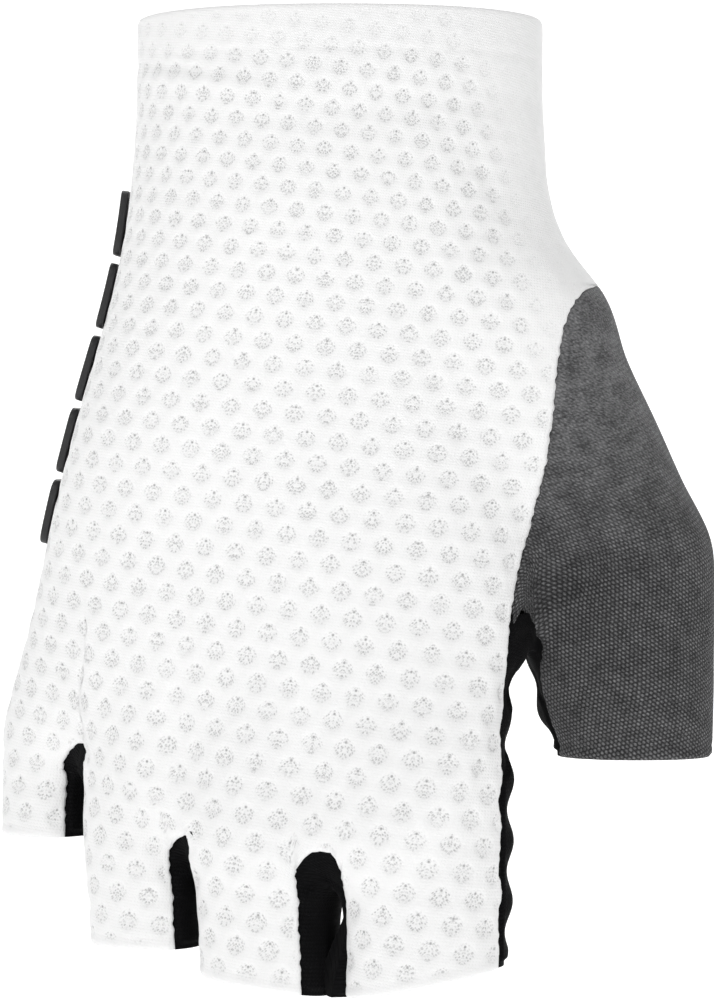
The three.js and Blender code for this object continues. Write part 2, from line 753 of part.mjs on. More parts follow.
const sleeveRows = thumbRows();
const sleeveTube = thumbTubeRows(sleeveRows[sleeveRows.length - 1].slice(1, -1));

function sleeveGeometry() {
  const sheet = new Sheet();
  sheet.addRows(sleeveRows, () => knitWall);
  addFingerRows(sheet, sleeveTube, knitWall);
  return sheet.cloth();
}

// A side strip: from one hem up to the web, over it and down to the next hem.
// legs: two lists of [back edge point, palm edge point], each from the web down, with the tube's section.
const stripColumns = 4;

function stripRow(leg, step, crotch) {
  const [back, palm] = leg.edges[step];
  const [hemBack, hemPalm] = leg.edges[leg.edges.length - 1];
  const down = step / (leg.edges.length - 1);
  const middleLevel = lerp(crotch, (hemBack.z + hemPalm.z) / 2, down);
  const row = [back];
  for (let column = 1; column < stripColumns; column += 1) {
    const share = column / stripColumns;
    const z = lerp(lerp(back.z, palm.z, share), middleLevel, Math.sin(Math.PI * share));
    const section = leg.section(z);
    const start = sectionAngle(section, back);
    const end = sectionAngle(section, palm);
    const turn = THREE.MathUtils.euclideanModulo(end - start + wholeTurn / 2, wholeTurn) - wholeTurn / 2;
    row.push(settle(sectionPoint(section, start + turn * share, z)));
  }
  row.push(palm);
  return row;
}

// The strip's inner points where it crosses the web, the same for both legs
function crossingPoints(leftLeg, rightLeg, crotch) {
  const points = [];
  for (let column = 1; column < stripColumns; column += 1) {
    const share = column / stripColumns;
    const [left, right] = [leftLeg, rightLeg].map(({ edges: [[back, palm]] }) => back.clone().lerp(palm, share));
    const middle = left.lerp(right, 0.5);
    points.push(settle(middle.setZ(lerp(middle.z, crotch, Math.sin(Math.PI * share)))));
  }
  return points;
}

function stripGeometry(leftLeg, rightLeg, crotch) {
  const crossing = crossingPoints(leftLeg, rightLeg, crotch);
  const rowsOf = (leg) => leg.edges.map(([back, palm], step) => (
    step === 0 ? [back, ...crossing, palm] : stripRow(leg, step, crotch)
  ));
  const sheet = new Sheet();
  sheet.addRows([...rowsOf(leftLeg).reverse(), ...rowsOf(rightLeg)], () => stripWall);
  return sheet.cloth();
}

// The edges of finger i next to its web: at the last line (towards the thumb) or the first
function fingerLeg(i, towardsThumb) {
  const edgeOf = (row) => (towardsThumb ? row[row.length - 1] : row[0]);
  const edges = backSide.fingers[i].map((row, r) => [edgeOf(row), edgeOf(palmSide.fingers[i][r])]);
  return { edges, section: (z) => fingerSection(i, z) };
}

function indexLeg() {
  const leg = fingerLeg(FINGERS.length - 1, true);
  const lastLine = backSide.lines.length - 1;
  const above = [];
  for (let row = thumbWebRow; row < webRow; row += 1) {
    above.push([backSide.rows[row][lastLine], palmSide.rows[row][lastLine]]);
  }
  return { edges: [...above, ...leg.edges], section: leg.section };
}

function thumbLeg() {
  const edges = sleeveTube.map((row) => [row[0], row[row.length - 1]]);
  return { edges, section: thumbSection };
}

// One rubber bar: a rounded plate with two lengthwise grooves, over the outer edge of the hand
const barShelf = 0.75;         // height of its rounded rim, share of its full height
const barRim = 0.5;            // width of that rim
const barGroovePlace = 0.36;   // middle of a groove, share of the half width
const barGrooveSlope = 0.2;    // width of a groove's sloping side
const barCornerStops = [0, 0.15, 0.5, 1];

function barGeometry(number) {
  const middle = -barStart - barLength / 2 - number * (barLength + barSpacing);
  const halfLength = barLength / 2;
  const halfWidth = barWidth / 2;
  const grooveMiddle = halfWidth * barGroovePlace;
  const grooveReach = barGrooveWidth / 2;
  const lengthStops = barCornerStops.map((share) => halfLength - barCorner * share);
  const alongStops = [...lengthStops, ...lengthStops.map((stop) => -stop).reverse()];
  const grooveSides = [-grooveReach - barGrooveSlope, -grooveReach, grooveReach, grooveReach + barGrooveSlope];
  const halfStops = [...grooveSides.map((side) => grooveMiddle + side), halfWidth - barRim, halfWidth];
  const acrossStops = [...halfStops.map((stop) => -stop).reverse(), ...halfStops];
  const heights = new Map();
  const rows = alongStops.map((along) => {
    const overCorner = Math.max(Math.abs(along) - halfLength + barCorner, 0);
    const narrowing = barCorner - Math.sqrt(Math.max(barCorner ** 2 - overCorner ** 2, 0));
    const rowShare = (halfWidth - narrowing) / halfWidth;
    const z = middle + along;
    const centre = faceAtAngle(palmSection(z), barAngle, z);
    const slope = handSlope(centre).normalize();
    const sideways = new THREE.Vector3(-slope.y, slope.x, 0).normalize();
    return acrossStops.map((across) => {
      const point = settle(centre.clone().addScaledVector(sideways, across * rowShare));
      const atRim = Math.abs(across) === halfWidth || Math.abs(along) === halfLength;
      const fromGroove = Math.abs(Math.abs(across) - grooveMiddle);
      const inGroove = fromGroove < grooveReach + barGrooveSlope / 2 && Math.abs(along) <= halfLength - barCorner;
      const full = atRim ? barHeight * barShelf : barHeight;
      heights.set(point, inGroove ? barHeight - barGrooveDepth : full);
      return point;
    });
  });
  const sheet = new Sheet();
  sheet.addRows(rows, (point) => heights.get(point));
  return sheet.solid(() => seamGap, (i) => seamGap + sheet.walls[i], 0);
}

const colours = {
  mesh: { color: 0xf4f4f3, roughness: 0.85, metalness: 0 },
  microfibre: { color: 0x18181a, roughness: 0.8, metalness: 0 },
  stretchCloth: { color: 0x131315, roughness: 0.75, metalness: 0 },
  knit: { color: 0x59595b, roughness: 0.9, metalness: 0 },
  rubber: { color: 0x2c2c2e, roughness: 0.5, metalness: 0 },
};

const glove = new THREE.Group();

function addPiece(name, geometry, colour) {
  const piece = new THREE.Mesh(geometry, new THREE.MeshStandardMaterial(colour));
  piece.name = name;
  glove.add(piece);
}

addPiece('back_panel', panelGeometry(backSide, meshWall), colours.mesh);
addPiece('palm_panel', panelGeometry(palmSide, palmWall), colours.microfibre);
addPiece('thumb_sleeve', sleeveGeometry(), colours.knit);
for (let i = 0; i + 1 < FINGERS.length; i += 1) {
  const crotch = -FINGERS[i].web * palmLength - webSag;
  const geometry = stripGeometry(fingerLeg(i, true), fingerLeg(i + 1, false), crotch);
  addPiece(`side_strip_${FINGERS[i].name}_${FINGERS[i + 1].name}`, geometry, colours.stretchCloth);
}
const thumbCrotch = -THUMB_WEB * palmLength - thumbWebSag;
addPiece('side_strip_index_thumb', stripGeometry(indexLeg(), thumbLeg(), thumbCrotch), colours.stretchCloth);
for (let number = 0; number < barCount; number += 1) {
  addPiece(`grip_bar_${number + 1}`, barGeometry(number), colours.rubber);
}

export default glove;
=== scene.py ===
"""A right-hand short-finger cycling glove, held up in the form that it has when worn."""

import math
from functools import cache

import bpy
import numpy as np
from bpy.props import FloatProperty, FloatVectorProperty, IntProperty, PointerProperty
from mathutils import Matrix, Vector, kdtree


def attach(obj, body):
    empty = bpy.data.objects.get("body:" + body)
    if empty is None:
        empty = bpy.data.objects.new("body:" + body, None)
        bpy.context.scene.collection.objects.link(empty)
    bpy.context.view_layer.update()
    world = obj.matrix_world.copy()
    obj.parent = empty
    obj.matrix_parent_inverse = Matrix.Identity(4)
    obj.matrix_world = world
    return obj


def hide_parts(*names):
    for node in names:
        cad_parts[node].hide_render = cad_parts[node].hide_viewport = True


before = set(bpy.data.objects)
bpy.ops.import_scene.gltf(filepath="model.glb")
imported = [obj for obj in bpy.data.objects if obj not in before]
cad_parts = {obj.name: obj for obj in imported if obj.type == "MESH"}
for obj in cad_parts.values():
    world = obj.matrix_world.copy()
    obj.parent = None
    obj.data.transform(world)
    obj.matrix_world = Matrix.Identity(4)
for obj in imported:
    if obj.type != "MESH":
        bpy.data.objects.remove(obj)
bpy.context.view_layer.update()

bl_info = {
    "name": "Cycling Glove",
    "version": (1, 0, 0),
    "blender": (4, 5, 0),
    "location": "View3D > Sidebar > Glove",
    "description": "Builds a short-finger cycling glove with a dimpled mesh back and a knitted thumb",
    "category": "Add Mesh",
}

# Hand form, in metres: fingers down, back of the hand towards -Y, thumb side +X.
# The origin is the middle of the cuff's opening.
PALM_LENGTH = 0.1457
CUFF_WIDTH = 0.072
CUFF_DEPTH = 0.048
PALM_DEPTH = 0.026
FINGER_WIDTH = 0.0296
FINGER_DEPTH = 0.0212
FINGER_LENGTH = 0.025
FINGER_SPACING = 0.001
INDEX_ACROSS = 0.0151
INDEX_FORWARD = 0.0085
THUMB_WIDTH = 0.0285
THUMB_DEPTH = 0.025
THUMB_LENGTH = 0.025
THUMB_REACH = 0.0526
THUMB_SET = 0.006
THUMB_START = 0.0467
WEB_SAG = 0.006
THUMB_WEB_SAG = 0.008
CUFF_HEM = 0.0075

MESH_WALL = 0.0012
PALM_WALL = 0.0014
KNIT_WALL = 0.0011
STRIP_WALL = 0.001

PALM_SQUARENESS = 2.25
FINGER_SQUARENESS = 2.15
THUMB_SQUARENESS = 2.1
WEB_ROUNDING = 0.012
FINGER_BLEND = 0.005
THUMB_BLEND = 0.012

OUTER_SEAM_ANGLE = -116
INNER_SEAM_ANGLE = 96
OUTER_WEB = 0.866
THUMB_WEB = 0.725
LITTLE_WEB_RISE = 0.07


def table(columns, *rows):
    """Named columns of a short table, each an array."""
    return {name: np.array([row[i] for row in rows], float) for i, name in enumerate(columns.split())}


# Palm sections down the hand. down: share of the palm's length. The other columns run from 0, the
# cuff's value, to 1, the knuckles' value; arch moves depth from the palm side to the back.
PALM_SECTIONS = table(
    "down width shift turn depth arch",
    (0.000, 0.00, 0.00, 0.00, 0.00, 0.00),
    (0.104, 0.01, 0.00, 0.00, 0.03, 0.00),
    (0.228, 0.10, 0.02, 0.08, 0.12, 0.01),
    (0.331, 0.24, 0.09, 0.20, 0.27, 0.03),
    (0.485, 0.46, 0.34, 0.41, 0.46, 0.06),
    (0.629, 0.66, 0.57, 0.65, 0.66, 0.10),
    (0.784, 0.84, 0.75, 0.82, 0.86, 0.13),
    (0.928, 1.00, 0.92, 1.00, 1.00, 0.15),
    (1.103, 1.00, 1.00, 1.00, 1.00, 0.15),
    (1.309, 1.00, 1.00, 1.00, 1.00, 0.15),
)

# Thumb sections. out: share of THUMB_REACH; set: share of THUMB_SET; size: share of the thumb's
# width and depth at its hem.
THUMB_SECTIONS = table(
    "down out set size",
    (0.156, 0.280, -0.3, 0.50),
    (0.259, 0.430, -0.3, 0.90),
    (0.331, 0.572, -0.3, 1.15),
    (0.413, 0.655, -0.3, 1.16),
    (0.485, 0.750, -0.2, 1.16),
    (0.557, 0.843, -0.1, 1.15),
    (0.629, 0.943, 0.1, 1.145),
    (0.701, 0.958, 0.3, 1.15),
    (0.784, 0.960, 0.5, 1.145),
    (0.815, 0.967, 0.6, 1.12),
    (0.849, 0.981, 0.8, 1.07),
    (0.887, 1.000, 1.0, 1.00),
    (1.103, 1.000, 1.3, 0.98),
)

# Seam between the panels and the thumb sleeve. out: from the thumb's web to its outer edge.
THUMB_SEAM = table(
    "down out",
    (0.321, 0.955),
    (0.338, 0.689),
    (0.354, 0.562),
    (0.389, 0.431),
    (0.457, 0.305),
    (0.519, 0.223),
    (0.606, 0.102),
    (0.667, 0.035),
    (0.725, 0.000),
)

# Fingers from the little finger to the index finger. turn: degrees that its back faces away from the
# thumb; step: direction to the next finger; web: level of the web on its thumb side; length and rise:
# of its hem; back_from to palm_to: the two panels' edges round it, in degrees.
FINGERS = table(
    "width depth turn step lean web length rise back_from back_to palm_from palm_to columns web_width",
    (0.645, 0.830, 45, 37.0, -0.05, 0.881, 0.72, 0.00, -104, 66, 256, 148, 6, 0.50),
    (0.743, 0.925, 30, 26.0, 0.05, 0.990, 0.83, 0.00, -82, 58, 240, 138, 6, 0.55),
    (0.900, 0.970, 20, 15.3, 0.03, 1.000, 1.00, -0.06, -84, 42, 236, 128, 6, 0.85),
    (1.000, 1.000, 0, 0.0, 0.00, 1.000, 0.92, 0.12, -84, 61, 234, 117, 7, 0.00),
)
FINGER_NAMES = ("little", "ring", "middle", "index")

# Finger tubes fade into the palm above their webs. size: of the tube; pull: how far its middle
# follows the palm's own spread.
FINGER_ROOTS = table(
    "above size pull",
    (-0.30, 0.95, 0.0),
    (-0.12, 0.97, 0.0),
    (0.00, 1.00, 0.0),
    (0.10, 0.94, 0.6),
    (0.20, 0.80, 1.0),
    (0.32, 0.50, 1.0),
    (0.45, 0.20, 1.0),
    (1.10, 0.10, 1.0),
)

THUMB_WEB_RISE = table("out rise", (0.2, 0.2), (1.15, 1.0), (2.0, 1.0))

PALM, THUMB, FIRST_FINGER = 0, 1, 2


def smooth_curve(keys, values, at, held=None):
    """Values between the rows, on a smooth curve through them."""
    keys = np.asarray(keys, float)
    values = np.asarray(values, float)
    number = np.arange(len(keys))
    after = np.minimum(number + 1, len(keys) - 1)
    before = np.maximum(number - 1, 0)
    wide = (-1,) + (1,) * (values.ndim - 1)
    slopes = (values[after] - values[before]) / (keys[after] - keys[before]).reshape(wide)
    if held:
        slopes = held(keys, values, slopes)
    place = np.clip(np.atleast_1d(at), keys[0], keys[-1])
    row = np.clip(np.searchsorted(keys, place) - 1, 0, len(keys) - 2)
    span = (keys[row + 1] - keys[row]).reshape(wide)
    t = (place - keys[row]).reshape(wide) / span
    square, cube = t * t, t * t * t
    return ((2 * cube - 3 * square + 1) * values[row] + (cube - 2 * square + t) * span * slopes[row]
            + (3 * square - 2 * cube) * values[row + 1] + (cube - square) * span * slopes[row + 1])


def read_table(rows, key, at, *names):
    """The named columns of a table at places given in its key column."""
    values = np.stack([rows[name] for name in names], 1)
    return smooth_curve(rows[key], values, at).T


def lerp(a, b, t):
    return a + (b - a) * t


def fade(distance, reach):
    """1 at no distance, falling to 0 at the reach."""
    return np.clip(1 - distance / reach, 0, 1) ** 2


def running_sum(steps):
    """The sum before each step and after the last."""
    return np.concatenate([[0], np.cumsum(steps)])


def unit(vectors):
    return vectors / np.linalg.norm(vectors, axis=-1, keepdims=True)


def smooth_step(value, low, high):
    t = np.clip((value - low) / (high - low), 0, 1)
    return t * t * (3 - 2 * t)


def smooth_min(a, b, reach):
    overlap = np.maximum(reach - np.abs(a - b), 0) / reach
    return np.minimum(a, b) - overlap * overlap * reach / 4


def place_fingers():
    """Middles and half sizes of the fingers, chained from the index finger outwards."""
    places = []
    x, y = INDEX_ACROSS, -INDEX_FORWARD
    for i in reversed(range(len(FINGER_NAMES))):
        half_width = FINGER_WIDTH * FINGERS["width"][i] / 2
        if places:
            stride = half_width + places[0][2] + FINGER_SPACING
            step = math.radians(FINGERS["step"][i])
            x -= stride * math.cos(step)
            y += stride * math.sin(step)
        places.insert(0, (x, y, half_width, FINGER_DEPTH * FINGERS["depth"][i] / 2))
    return places


PLACES = place_fingers()
LITTLE, INDEX = PLACES[0], PLACES[-1]


def place_knuckles():
    """The palm's section at the knuckles spans the row of fingers: x, y, half width, turn."""
    across = np.array([INDEX[0] - LITTLE[0], INDEX[1] - LITTLE[1]])
    length = np.hypot(*across)
    offset = (INDEX[2] - LITTLE[2]) / 2 / length
    middle = np.array([INDEX[0] + LITTLE[0], INDEX[1] + LITTLE[1]]) / 2 + across * offset
    return middle[0], middle[1], (length + INDEX[2] + LITTLE[2]) / 2, math.atan2(-across[1], across[0])


KNUCKLES = place_knuckles()


def palm_section(z):
    width, shift, turn, depth, arch = read_table(
        PALM_SECTIONS, "down", -z / PALM_LENGTH, "width", "shift", "turn", "depth", "arch")
    half_depth = lerp(CUFF_DEPTH, PALM_DEPTH, depth) / 2
    return np.stack([KNUCKLES[0] * shift, KNUCKLES[1] * shift, lerp(CUFF_WIDTH / 2, KNUCKLES[2], width),
                     half_depth * (1 + arch), half_depth * (1 - arch), KNUCKLES[3] * turn])


def thumb_section(z):
    out, back, size = read_table(THUMB_SECTIONS, "down", -z / PALM_LENGTH, "out", "set", "size")
    half_depth = THUMB_DEPTH / 2 * size
    return np.stack([THUMB_REACH * out, THUMB_SET * back, THUMB_WIDTH / 2 * size,
                     half_depth, half_depth, 0 * z])


def finger_section(i, z):
    """Above its web a finger runs back into the palm and closes in with it."""
    x, y, half_width, half_depth = PLACES[i]
    below = -FINGERS["web"][i] * PALM_LENGTH - z
    size, pull = read_table(FINGER_ROOTS, "above", -below / PALM_LENGTH, "size", "pull")
    palm = palm_section(z)
    spread = palm[2] / KNUCKLES[2]
    return np.stack([
        lerp(x + FINGERS["lean"][i] * below, palm[0] + (x - KNUCKLES[0]) * spread, pull),
        lerp(y, palm[1] + (y - KNUCKLES[1]) * palm[5] / KNUCKLES[3], pull),
        half_width * size, half_depth * size, half_depth * size,
        0 * z + math.radians(FINGERS["turn"][i])])


# Each section is read from finely spaced levels: x, y, half width, back, palm and turn
LEVELS = np.arange(-0.205, 0.012, 0.0002)
SECTIONS = [palm_section(LEVELS), thumb_section(LEVELS)]
SECTIONS += [finger_section(i, LEVELS) for i in range(len(FINGER_NAMES))]
SQUARENESS = [PALM_SQUARENESS, THUMB_SQUARENESS] + [FINGER_SQUARENESS] * len(FINGER_NAMES)


def section_at(which, z):
    return [np.interp(z, LEVELS, column) for column in SECTIONS[which]]


def section_field(which, x, y, z):
    """How far a point lies outside the section's outline, less than 0 inside."""
    sx, sy, half_width, back, palm, turn = section_at(which, z)
    cosine, sine = np.cos(turn), np.sin(turn)
    across = (x - sx) * cosine - (y - sy) * sine
    through = (x - sx) * sine + (y - sy) * cosine
    depth = np.where(through < 0, back, palm)
    power = SQUARENESS[which]
    ratio = (np.abs(across / half_width) ** power + np.abs(through / depth) ** power) ** (1 / power)
    return np.hypot(across, through) * (1 - 1 / np.maximum(ratio, 1e-6))


def section_point(which, angle, z, reach=1.0):
    """A point along the section's ray, at an angle in degrees from the middle of its back."""
    z = np.asarray(z, float)
    sx, sy, half_width, back, palm, turn = section_at(which, z)
    turned = np.radians(angle)
    cosine = np.cos(turned)
    across = half_width * np.sin(turned) * reach
    through = -cosine * np.where(cosine > 0, back, palm) * reach
    x = sx + across * np.cos(turn) + through * np.sin(turn)
    y = sy - across * np.sin(turn) + through * np.cos(turn)
    return np.stack(np.broadcast_arrays(x, y, z), -1)


def section_angle(which, points):
    sx, sy, half_width, back, palm, turn = section_at(which, points[..., 2])
    dx, dy = points[..., 0] - sx, points[..., 1] - sy
    across = dx * np.cos(turn) - dy * np.sin(turn)
    through = dx * np.sin(turn) + dy * np.cos(turn)
    return np.degrees(np.arctan2(across / half_width, -through / np.where(through < 0, back, palm)))


def web_table():
    """The webs' underside: a level for each place across the hand."""
    webs = -FINGERS["web"][:-1] * PALM_LENGTH - WEB_SAG
    thumb_web = -THUMB_WEB * PALM_LENGTH - THUMB_WEB_SAG
    rows = [(LITTLE[0] - LITTLE[2], webs[0])]
    for i, level in enumerate(webs):
        left, right = PLACES[i], PLACES[i + 1]
        rows.append((lerp(left[0], right[0], left[2] / (left[2] + right[2])), level))
    for out, rise in zip(THUMB_WEB_RISE["out"], THUMB_WEB_RISE["rise"]):
        rows.append((INDEX[0] + INDEX[2] * out, lerp(webs[-1], thumb_web, rise)))
    return table("x level", *rows)


WEB_LEVELS = web_table()
WEB_PLACES = np.linspace(WEB_LEVELS["x"][0], WEB_LEVELS["x"][-1], 400)
WEB_HEIGHTS = read_table(WEB_LEVELS, "x", WEB_PLACES, "level")[0]


def hand_field(points):
    """Less than 0 inside the hand form, 0 on the glove's outer face."""
    x, y, z = points[..., 0], points[..., 1], points[..., 2]
    palm = section_field(PALM, x, y, z)
    underside = np.interp(x, WEB_PLACES, WEB_HEIGHTS) - z
    fingers = np.full(np.shape(x), np.inf)
    for i in range(len(FINGER_NAMES)):
        fingers = np.minimum(fingers, section_field(FIRST_FINGER + i, x, y, z))
    palm = -smooth_min(-palm, -underside, WEB_ROUNDING)
    hand = smooth_min(palm, fingers, FINGER_BLEND)
    return smooth_min(hand, section_field(THUMB, x, y, z), THUMB_BLEND)


def hand_slope(points, probe=0.00005):
    """Direction and rate in which the form's field grows."""
    slope = np.empty(points.shape)
    for axis in range(3):
        step = np.zeros(3)
        step[axis] = probe
        slope[..., axis] = (hand_field(points + step) - hand_field(points - step)) / (2 * probe)
    return slope


def settle(points, rounds=12, longest=0.0025):
    """The nearest points of the form's face."""
    points = np.array(points, float)
    for _ in range(rounds):
        slope = hand_slope(points)
        move = slope * (hand_field(points) / (slope ** 2).sum(-1))[..., None]
        length = np.linalg.norm(move, axis=-1, keepdims=True)
        points -= move * np.minimum(1, longest / np.maximum(length, 1e-12))
    return points


def bisect(inside, outside, halvings=26):
    for _ in range(halvings):
        middle = (inside + outside) / 2
        within = (hand_field(middle) < 0)[..., None]
        inside = np.where(within, middle, inside)
        outside = np.where(within, outside, middle)
    return (inside + outside) / 2


def face_at_angle(which, angle, z, stride=0.04, first=0.4):
    """The face met along a section's ray, at an angle from the middle of its back."""
    angle, z = np.broadcast_arrays(np.asarray(angle, float), np.asarray(z, float))
    reach = np.full(z.shape, first)
    for _ in range(80):
        within = hand_field(section_point(which, angle, z, reach)) < 0
        if not within.any():
            break
        reach = np.where(within, reach + stride, reach)
    return bisect(section_point(which, angle, z, reach - stride), section_point(which, angle, z, reach))


def face_at_place(side, x, z, stride=0.0005):
    """The face seen at x and z from the back of the hand (side 1) or from the palm (side -1)."""
    x, z = np.broadcast_arrays(np.asarray(x, float), np.asarray(z, float))
    far = CUFF_DEPTH + THUMB_DEPTH
    y = np.full(x.shape, -side * far)
    for _ in range(int(2 * far / stride)):
        outside = hand_field(np.stack([x, y, z], -1)) > 0
        if not outside.any():
            break
        y = np.where(outside, y + side * stride, y)
    return bisect(np.stack([x, y, z], -1), np.stack([x, y - side * stride, z], -1))


# Rows of the palm from the cuff to the webs, and how closely they crowd
ROWS_TO_THUMB, ROWS_ALONG_THUMB, ROWS_TO_WEBS, ROWS_DOWN_FINGER = 6, 11, 5, 4
THUMB_ROW_CROWDING, WEB_ROW_CROWDING = 1.6, 1.4
THUMB_START_ROW = 1 + ROWS_TO_THUMB
THUMB_WEB_ROW = THUMB_START_ROW + ROWS_ALONG_THUMB
WEB_ROW = THUMB_WEB_ROW + ROWS_TO_WEBS
FINGER_TURNING = 0.5
EDGE_CROWDING = 4

# How far the panels reach down at the corners of the gaps between the fingers
GAP_ROUNDING = (0.0015, 0.0024, 0.0038)
THUMB_GAP_RAISED, THUMB_GAP_ROUNDING = 0.0022, 0.0030

LINE_FINGER = np.concatenate([np.full(int(n) + 1, i) for i, n in enumerate(FINGERS["columns"])])
LINE_SHARE = np.concatenate([np.arange(n + 1) / n for n in FINGERS["columns"]])
WEB_BEFORE = np.concatenate([[OUTER_WEB], FINGERS["web"][:-1]])
LINE_WEB = -PALM_LENGTH * lerp(WEB_BEFORE[LINE_FINGER], FINGERS["web"][LINE_FINGER], LINE_SHARE)
LAST_LINE = len(LINE_FINGER) - 1


def line_angles(side):
    start, end = ("back_from", "back_to") if side > 0 else ("palm_from", "palm_to")
    return lerp(FINGERS[start][LINE_FINGER], FINGERS[end][LINE_FINGER], LINE_SHARE)


def palm_levels(across, web_level):
    """Levels of the rows on a line; across: 0 at the outer seam, 1 at the thumb side."""
    levels = [0 * across, 0 * across - CUFF_HEM]
    thumb_web = -PALM_LENGTH * (THUMB_WEB - LITTLE_WEB_RISE * (1 - across))
    zones = (
        (0 * across - THUMB_START, ROWS_TO_THUMB, 1),
        (thumb_web, ROWS_ALONG_THUMB, THUMB_ROW_CROWDING),
        (web_level, ROWS_TO_WEBS, WEB_ROW_CROWDING),
    )
    for end, rows, crowding in zones:
        start = levels[-1]
        levels += [lerp(start, end, (row / rows) ** crowding) for row in range(1, rows + 1)]
    return np.array(levels)


def thumb_side_edge(side, z):
    """The panels' edge at the thumb side."""
    if z >= -THUMB_START:
        return face_at_angle(PALM, INNER_SEAM_ANGLE, z)
    web_place = INDEX[0] + INDEX[2]
    down = -z / PALM_LENGTH
    if down <= THUMB_WEB:
        out = read_table(THUMB_SEAM, "down", down, "out")[0][0]
        thumb = section_at(THUMB, z)
        return face_at_place(side, lerp(web_place, thumb[0] + thumb[2], out), z)
    index = section_at(FIRST_FINGER + 3, z)
    edge = FINGERS["back_to" if side > 0 else "palm_to"][3]
    reached = np.clip((down - THUMB_WEB) / (1 - THUMB_WEB) * 2, 0, 1)
    finger_place = index[0] + index[2] * math.sin(math.radians(edge))
    return face_at_place(side, lerp(web_place, finger_place, reached), z)


def hem_level(i, angle):
    to_thumb = np.sin(np.radians(angle - FINGERS["turn"][i]))
    return (-FINGERS["web"][i] * PALM_LENGTH
            - FINGER_LENGTH * (FINGERS["length"][i] - FINGERS["rise"][i] * to_thumb))


def web_points(side):
    """The last palm row: points over each finger, drawn together over the webs."""
    angles = line_angles(side)
    points = np.array([section_point(FIRST_FINGER + f, angles[i], LINE_WEB[i])
                       for i, f in enumerate(LINE_FINGER)])
    for i in range(LAST_LINE):
        if LINE_FINGER[i] != LINE_FINGER[i + 1]:
            middle = (points[i] + points[i + 1]) / 2
            width = FINGERS["web_width"][LINE_FINGER[i]]
            points[i] = lerp(middle, points[i], width)
            points[i + 1] = lerp(middle, points[i + 1], width)
    outer = int(FINGERS["columns"][0] / 2)
    points[:outer] = settle(points[:outer])
    points[outer:] = face_at_place(side, points[outer:, 0], points[outer:, 2])
    points[-1] = thumb_side_edge(side, LINE_WEB[-1])
    return points


def finger_rows(side, webs, i):
    """Rows down one finger from the webs to its hem."""
    mine = LINE_FINGER == i
    angles = line_angles(side)[mine]
    starts = section_angle(FIRST_FINGER + i, webs[mine])
    starts = np.where(starts < angles - 180, starts + 360, starts)
    rows = [webs[mine]]
    for row in range(1, ROWS_DOWN_FINGER + 1):
        share = (row / ROWS_DOWN_FINGER) ** WEB_ROW_CROWDING
        angle = lerp(starts, angles, share ** FINGER_TURNING)
        z = lerp(webs[mine][:, 2], hem_level(i, angles), share)
        rows.append(settle(section_point(FIRST_FINGER + i, angle, z)))
    return np.array(rows)


def side_panel(side):
    """One side of the glove: the palm's grid of points and a grid for each finger."""
    webs = web_points(side)

    def turn_of(angle):
        return np.where((side > 0) | (angle > 0), angle, angle + 360)

    web_angles = turn_of(section_angle(PALM, webs))
    web_shares = (web_angles - web_angles[0]) / (web_angles[-1] - web_angles[0])
    across = np.arange(LAST_LINE + 1) / LAST_LINE
    levels = palm_levels(across, LINE_WEB)
    edge_levels = palm_levels(np.array(1.0), LINE_WEB[-1])
    edges = np.array([thumb_side_edge(side, z) for z in edge_levels]).reshape(-1, 3)
    ends = turn_of(section_angle(PALM, edges))
    calm = [ends[max(row - 5, 0):row + 6].mean() for row in range(len(ends))]
    outer_end = section_angle(PALM, webs[0])
    rows = []
    for row in range(WEB_ROW):
        blend = smooth_step(row / WEB_ROW, 0.1, 1)
        start = turn_of(lerp(OUTER_SEAM_ANGLE, outer_end, blend))
        share = lerp(across, web_shares, blend)
        angle = lerp(start, calm[row], share) + (ends[row] - calm[row]) * share ** EDGE_CROWDING
        points = face_at_angle(PALM, angle, levels[row])
        points[-1] = edges[row]
        rows.append(points)
    rows.append(webs)
    return {"palm": np.array(rows), "fingers": [finger_rows(side, webs, i) for i in range(4)]}


# The sleeve's lines run round the thumb from the back's seam to the palm's seam
THUMB_EDGE_ANGLE, THUMB_PALM_EDGE, THUMB_TOP_ANGLE = 76, 236, 30
THUMB_TOP_COLUMNS, THUMB_OUTER_COLUMNS = 3, 6
THUMB_COLUMNS = 2 * THUMB_TOP_COLUMNS + THUMB_OUTER_COLUMNS
LEAST_COLUMN, THUMB_SHOULDER, TUBE_TURNING = 0.7, 0.55, 0.7
THUMB_TUBE_ROWS = 4


def thumb_angle(column):
    if column < THUMB_TOP_COLUMNS:
        return lerp(-THUMB_EDGE_ANGLE, -THUMB_TOP_ANGLE, column / THUMB_TOP_COLUMNS)
    from_palm = THUMB_COLUMNS - column
    if from_palm < THUMB_TOP_COLUMNS:
        return lerp(THUMB_PALM_EDGE, 180 + THUMB_TOP_ANGLE, from_palm / THUMB_TOP_COLUMNS)
    share = (column - THUMB_TOP_COLUMNS) / THUMB_OUTER_COLUMNS
    return lerp(-THUMB_TOP_ANGLE, 180 + THUMB_TOP_ANGLE, share)


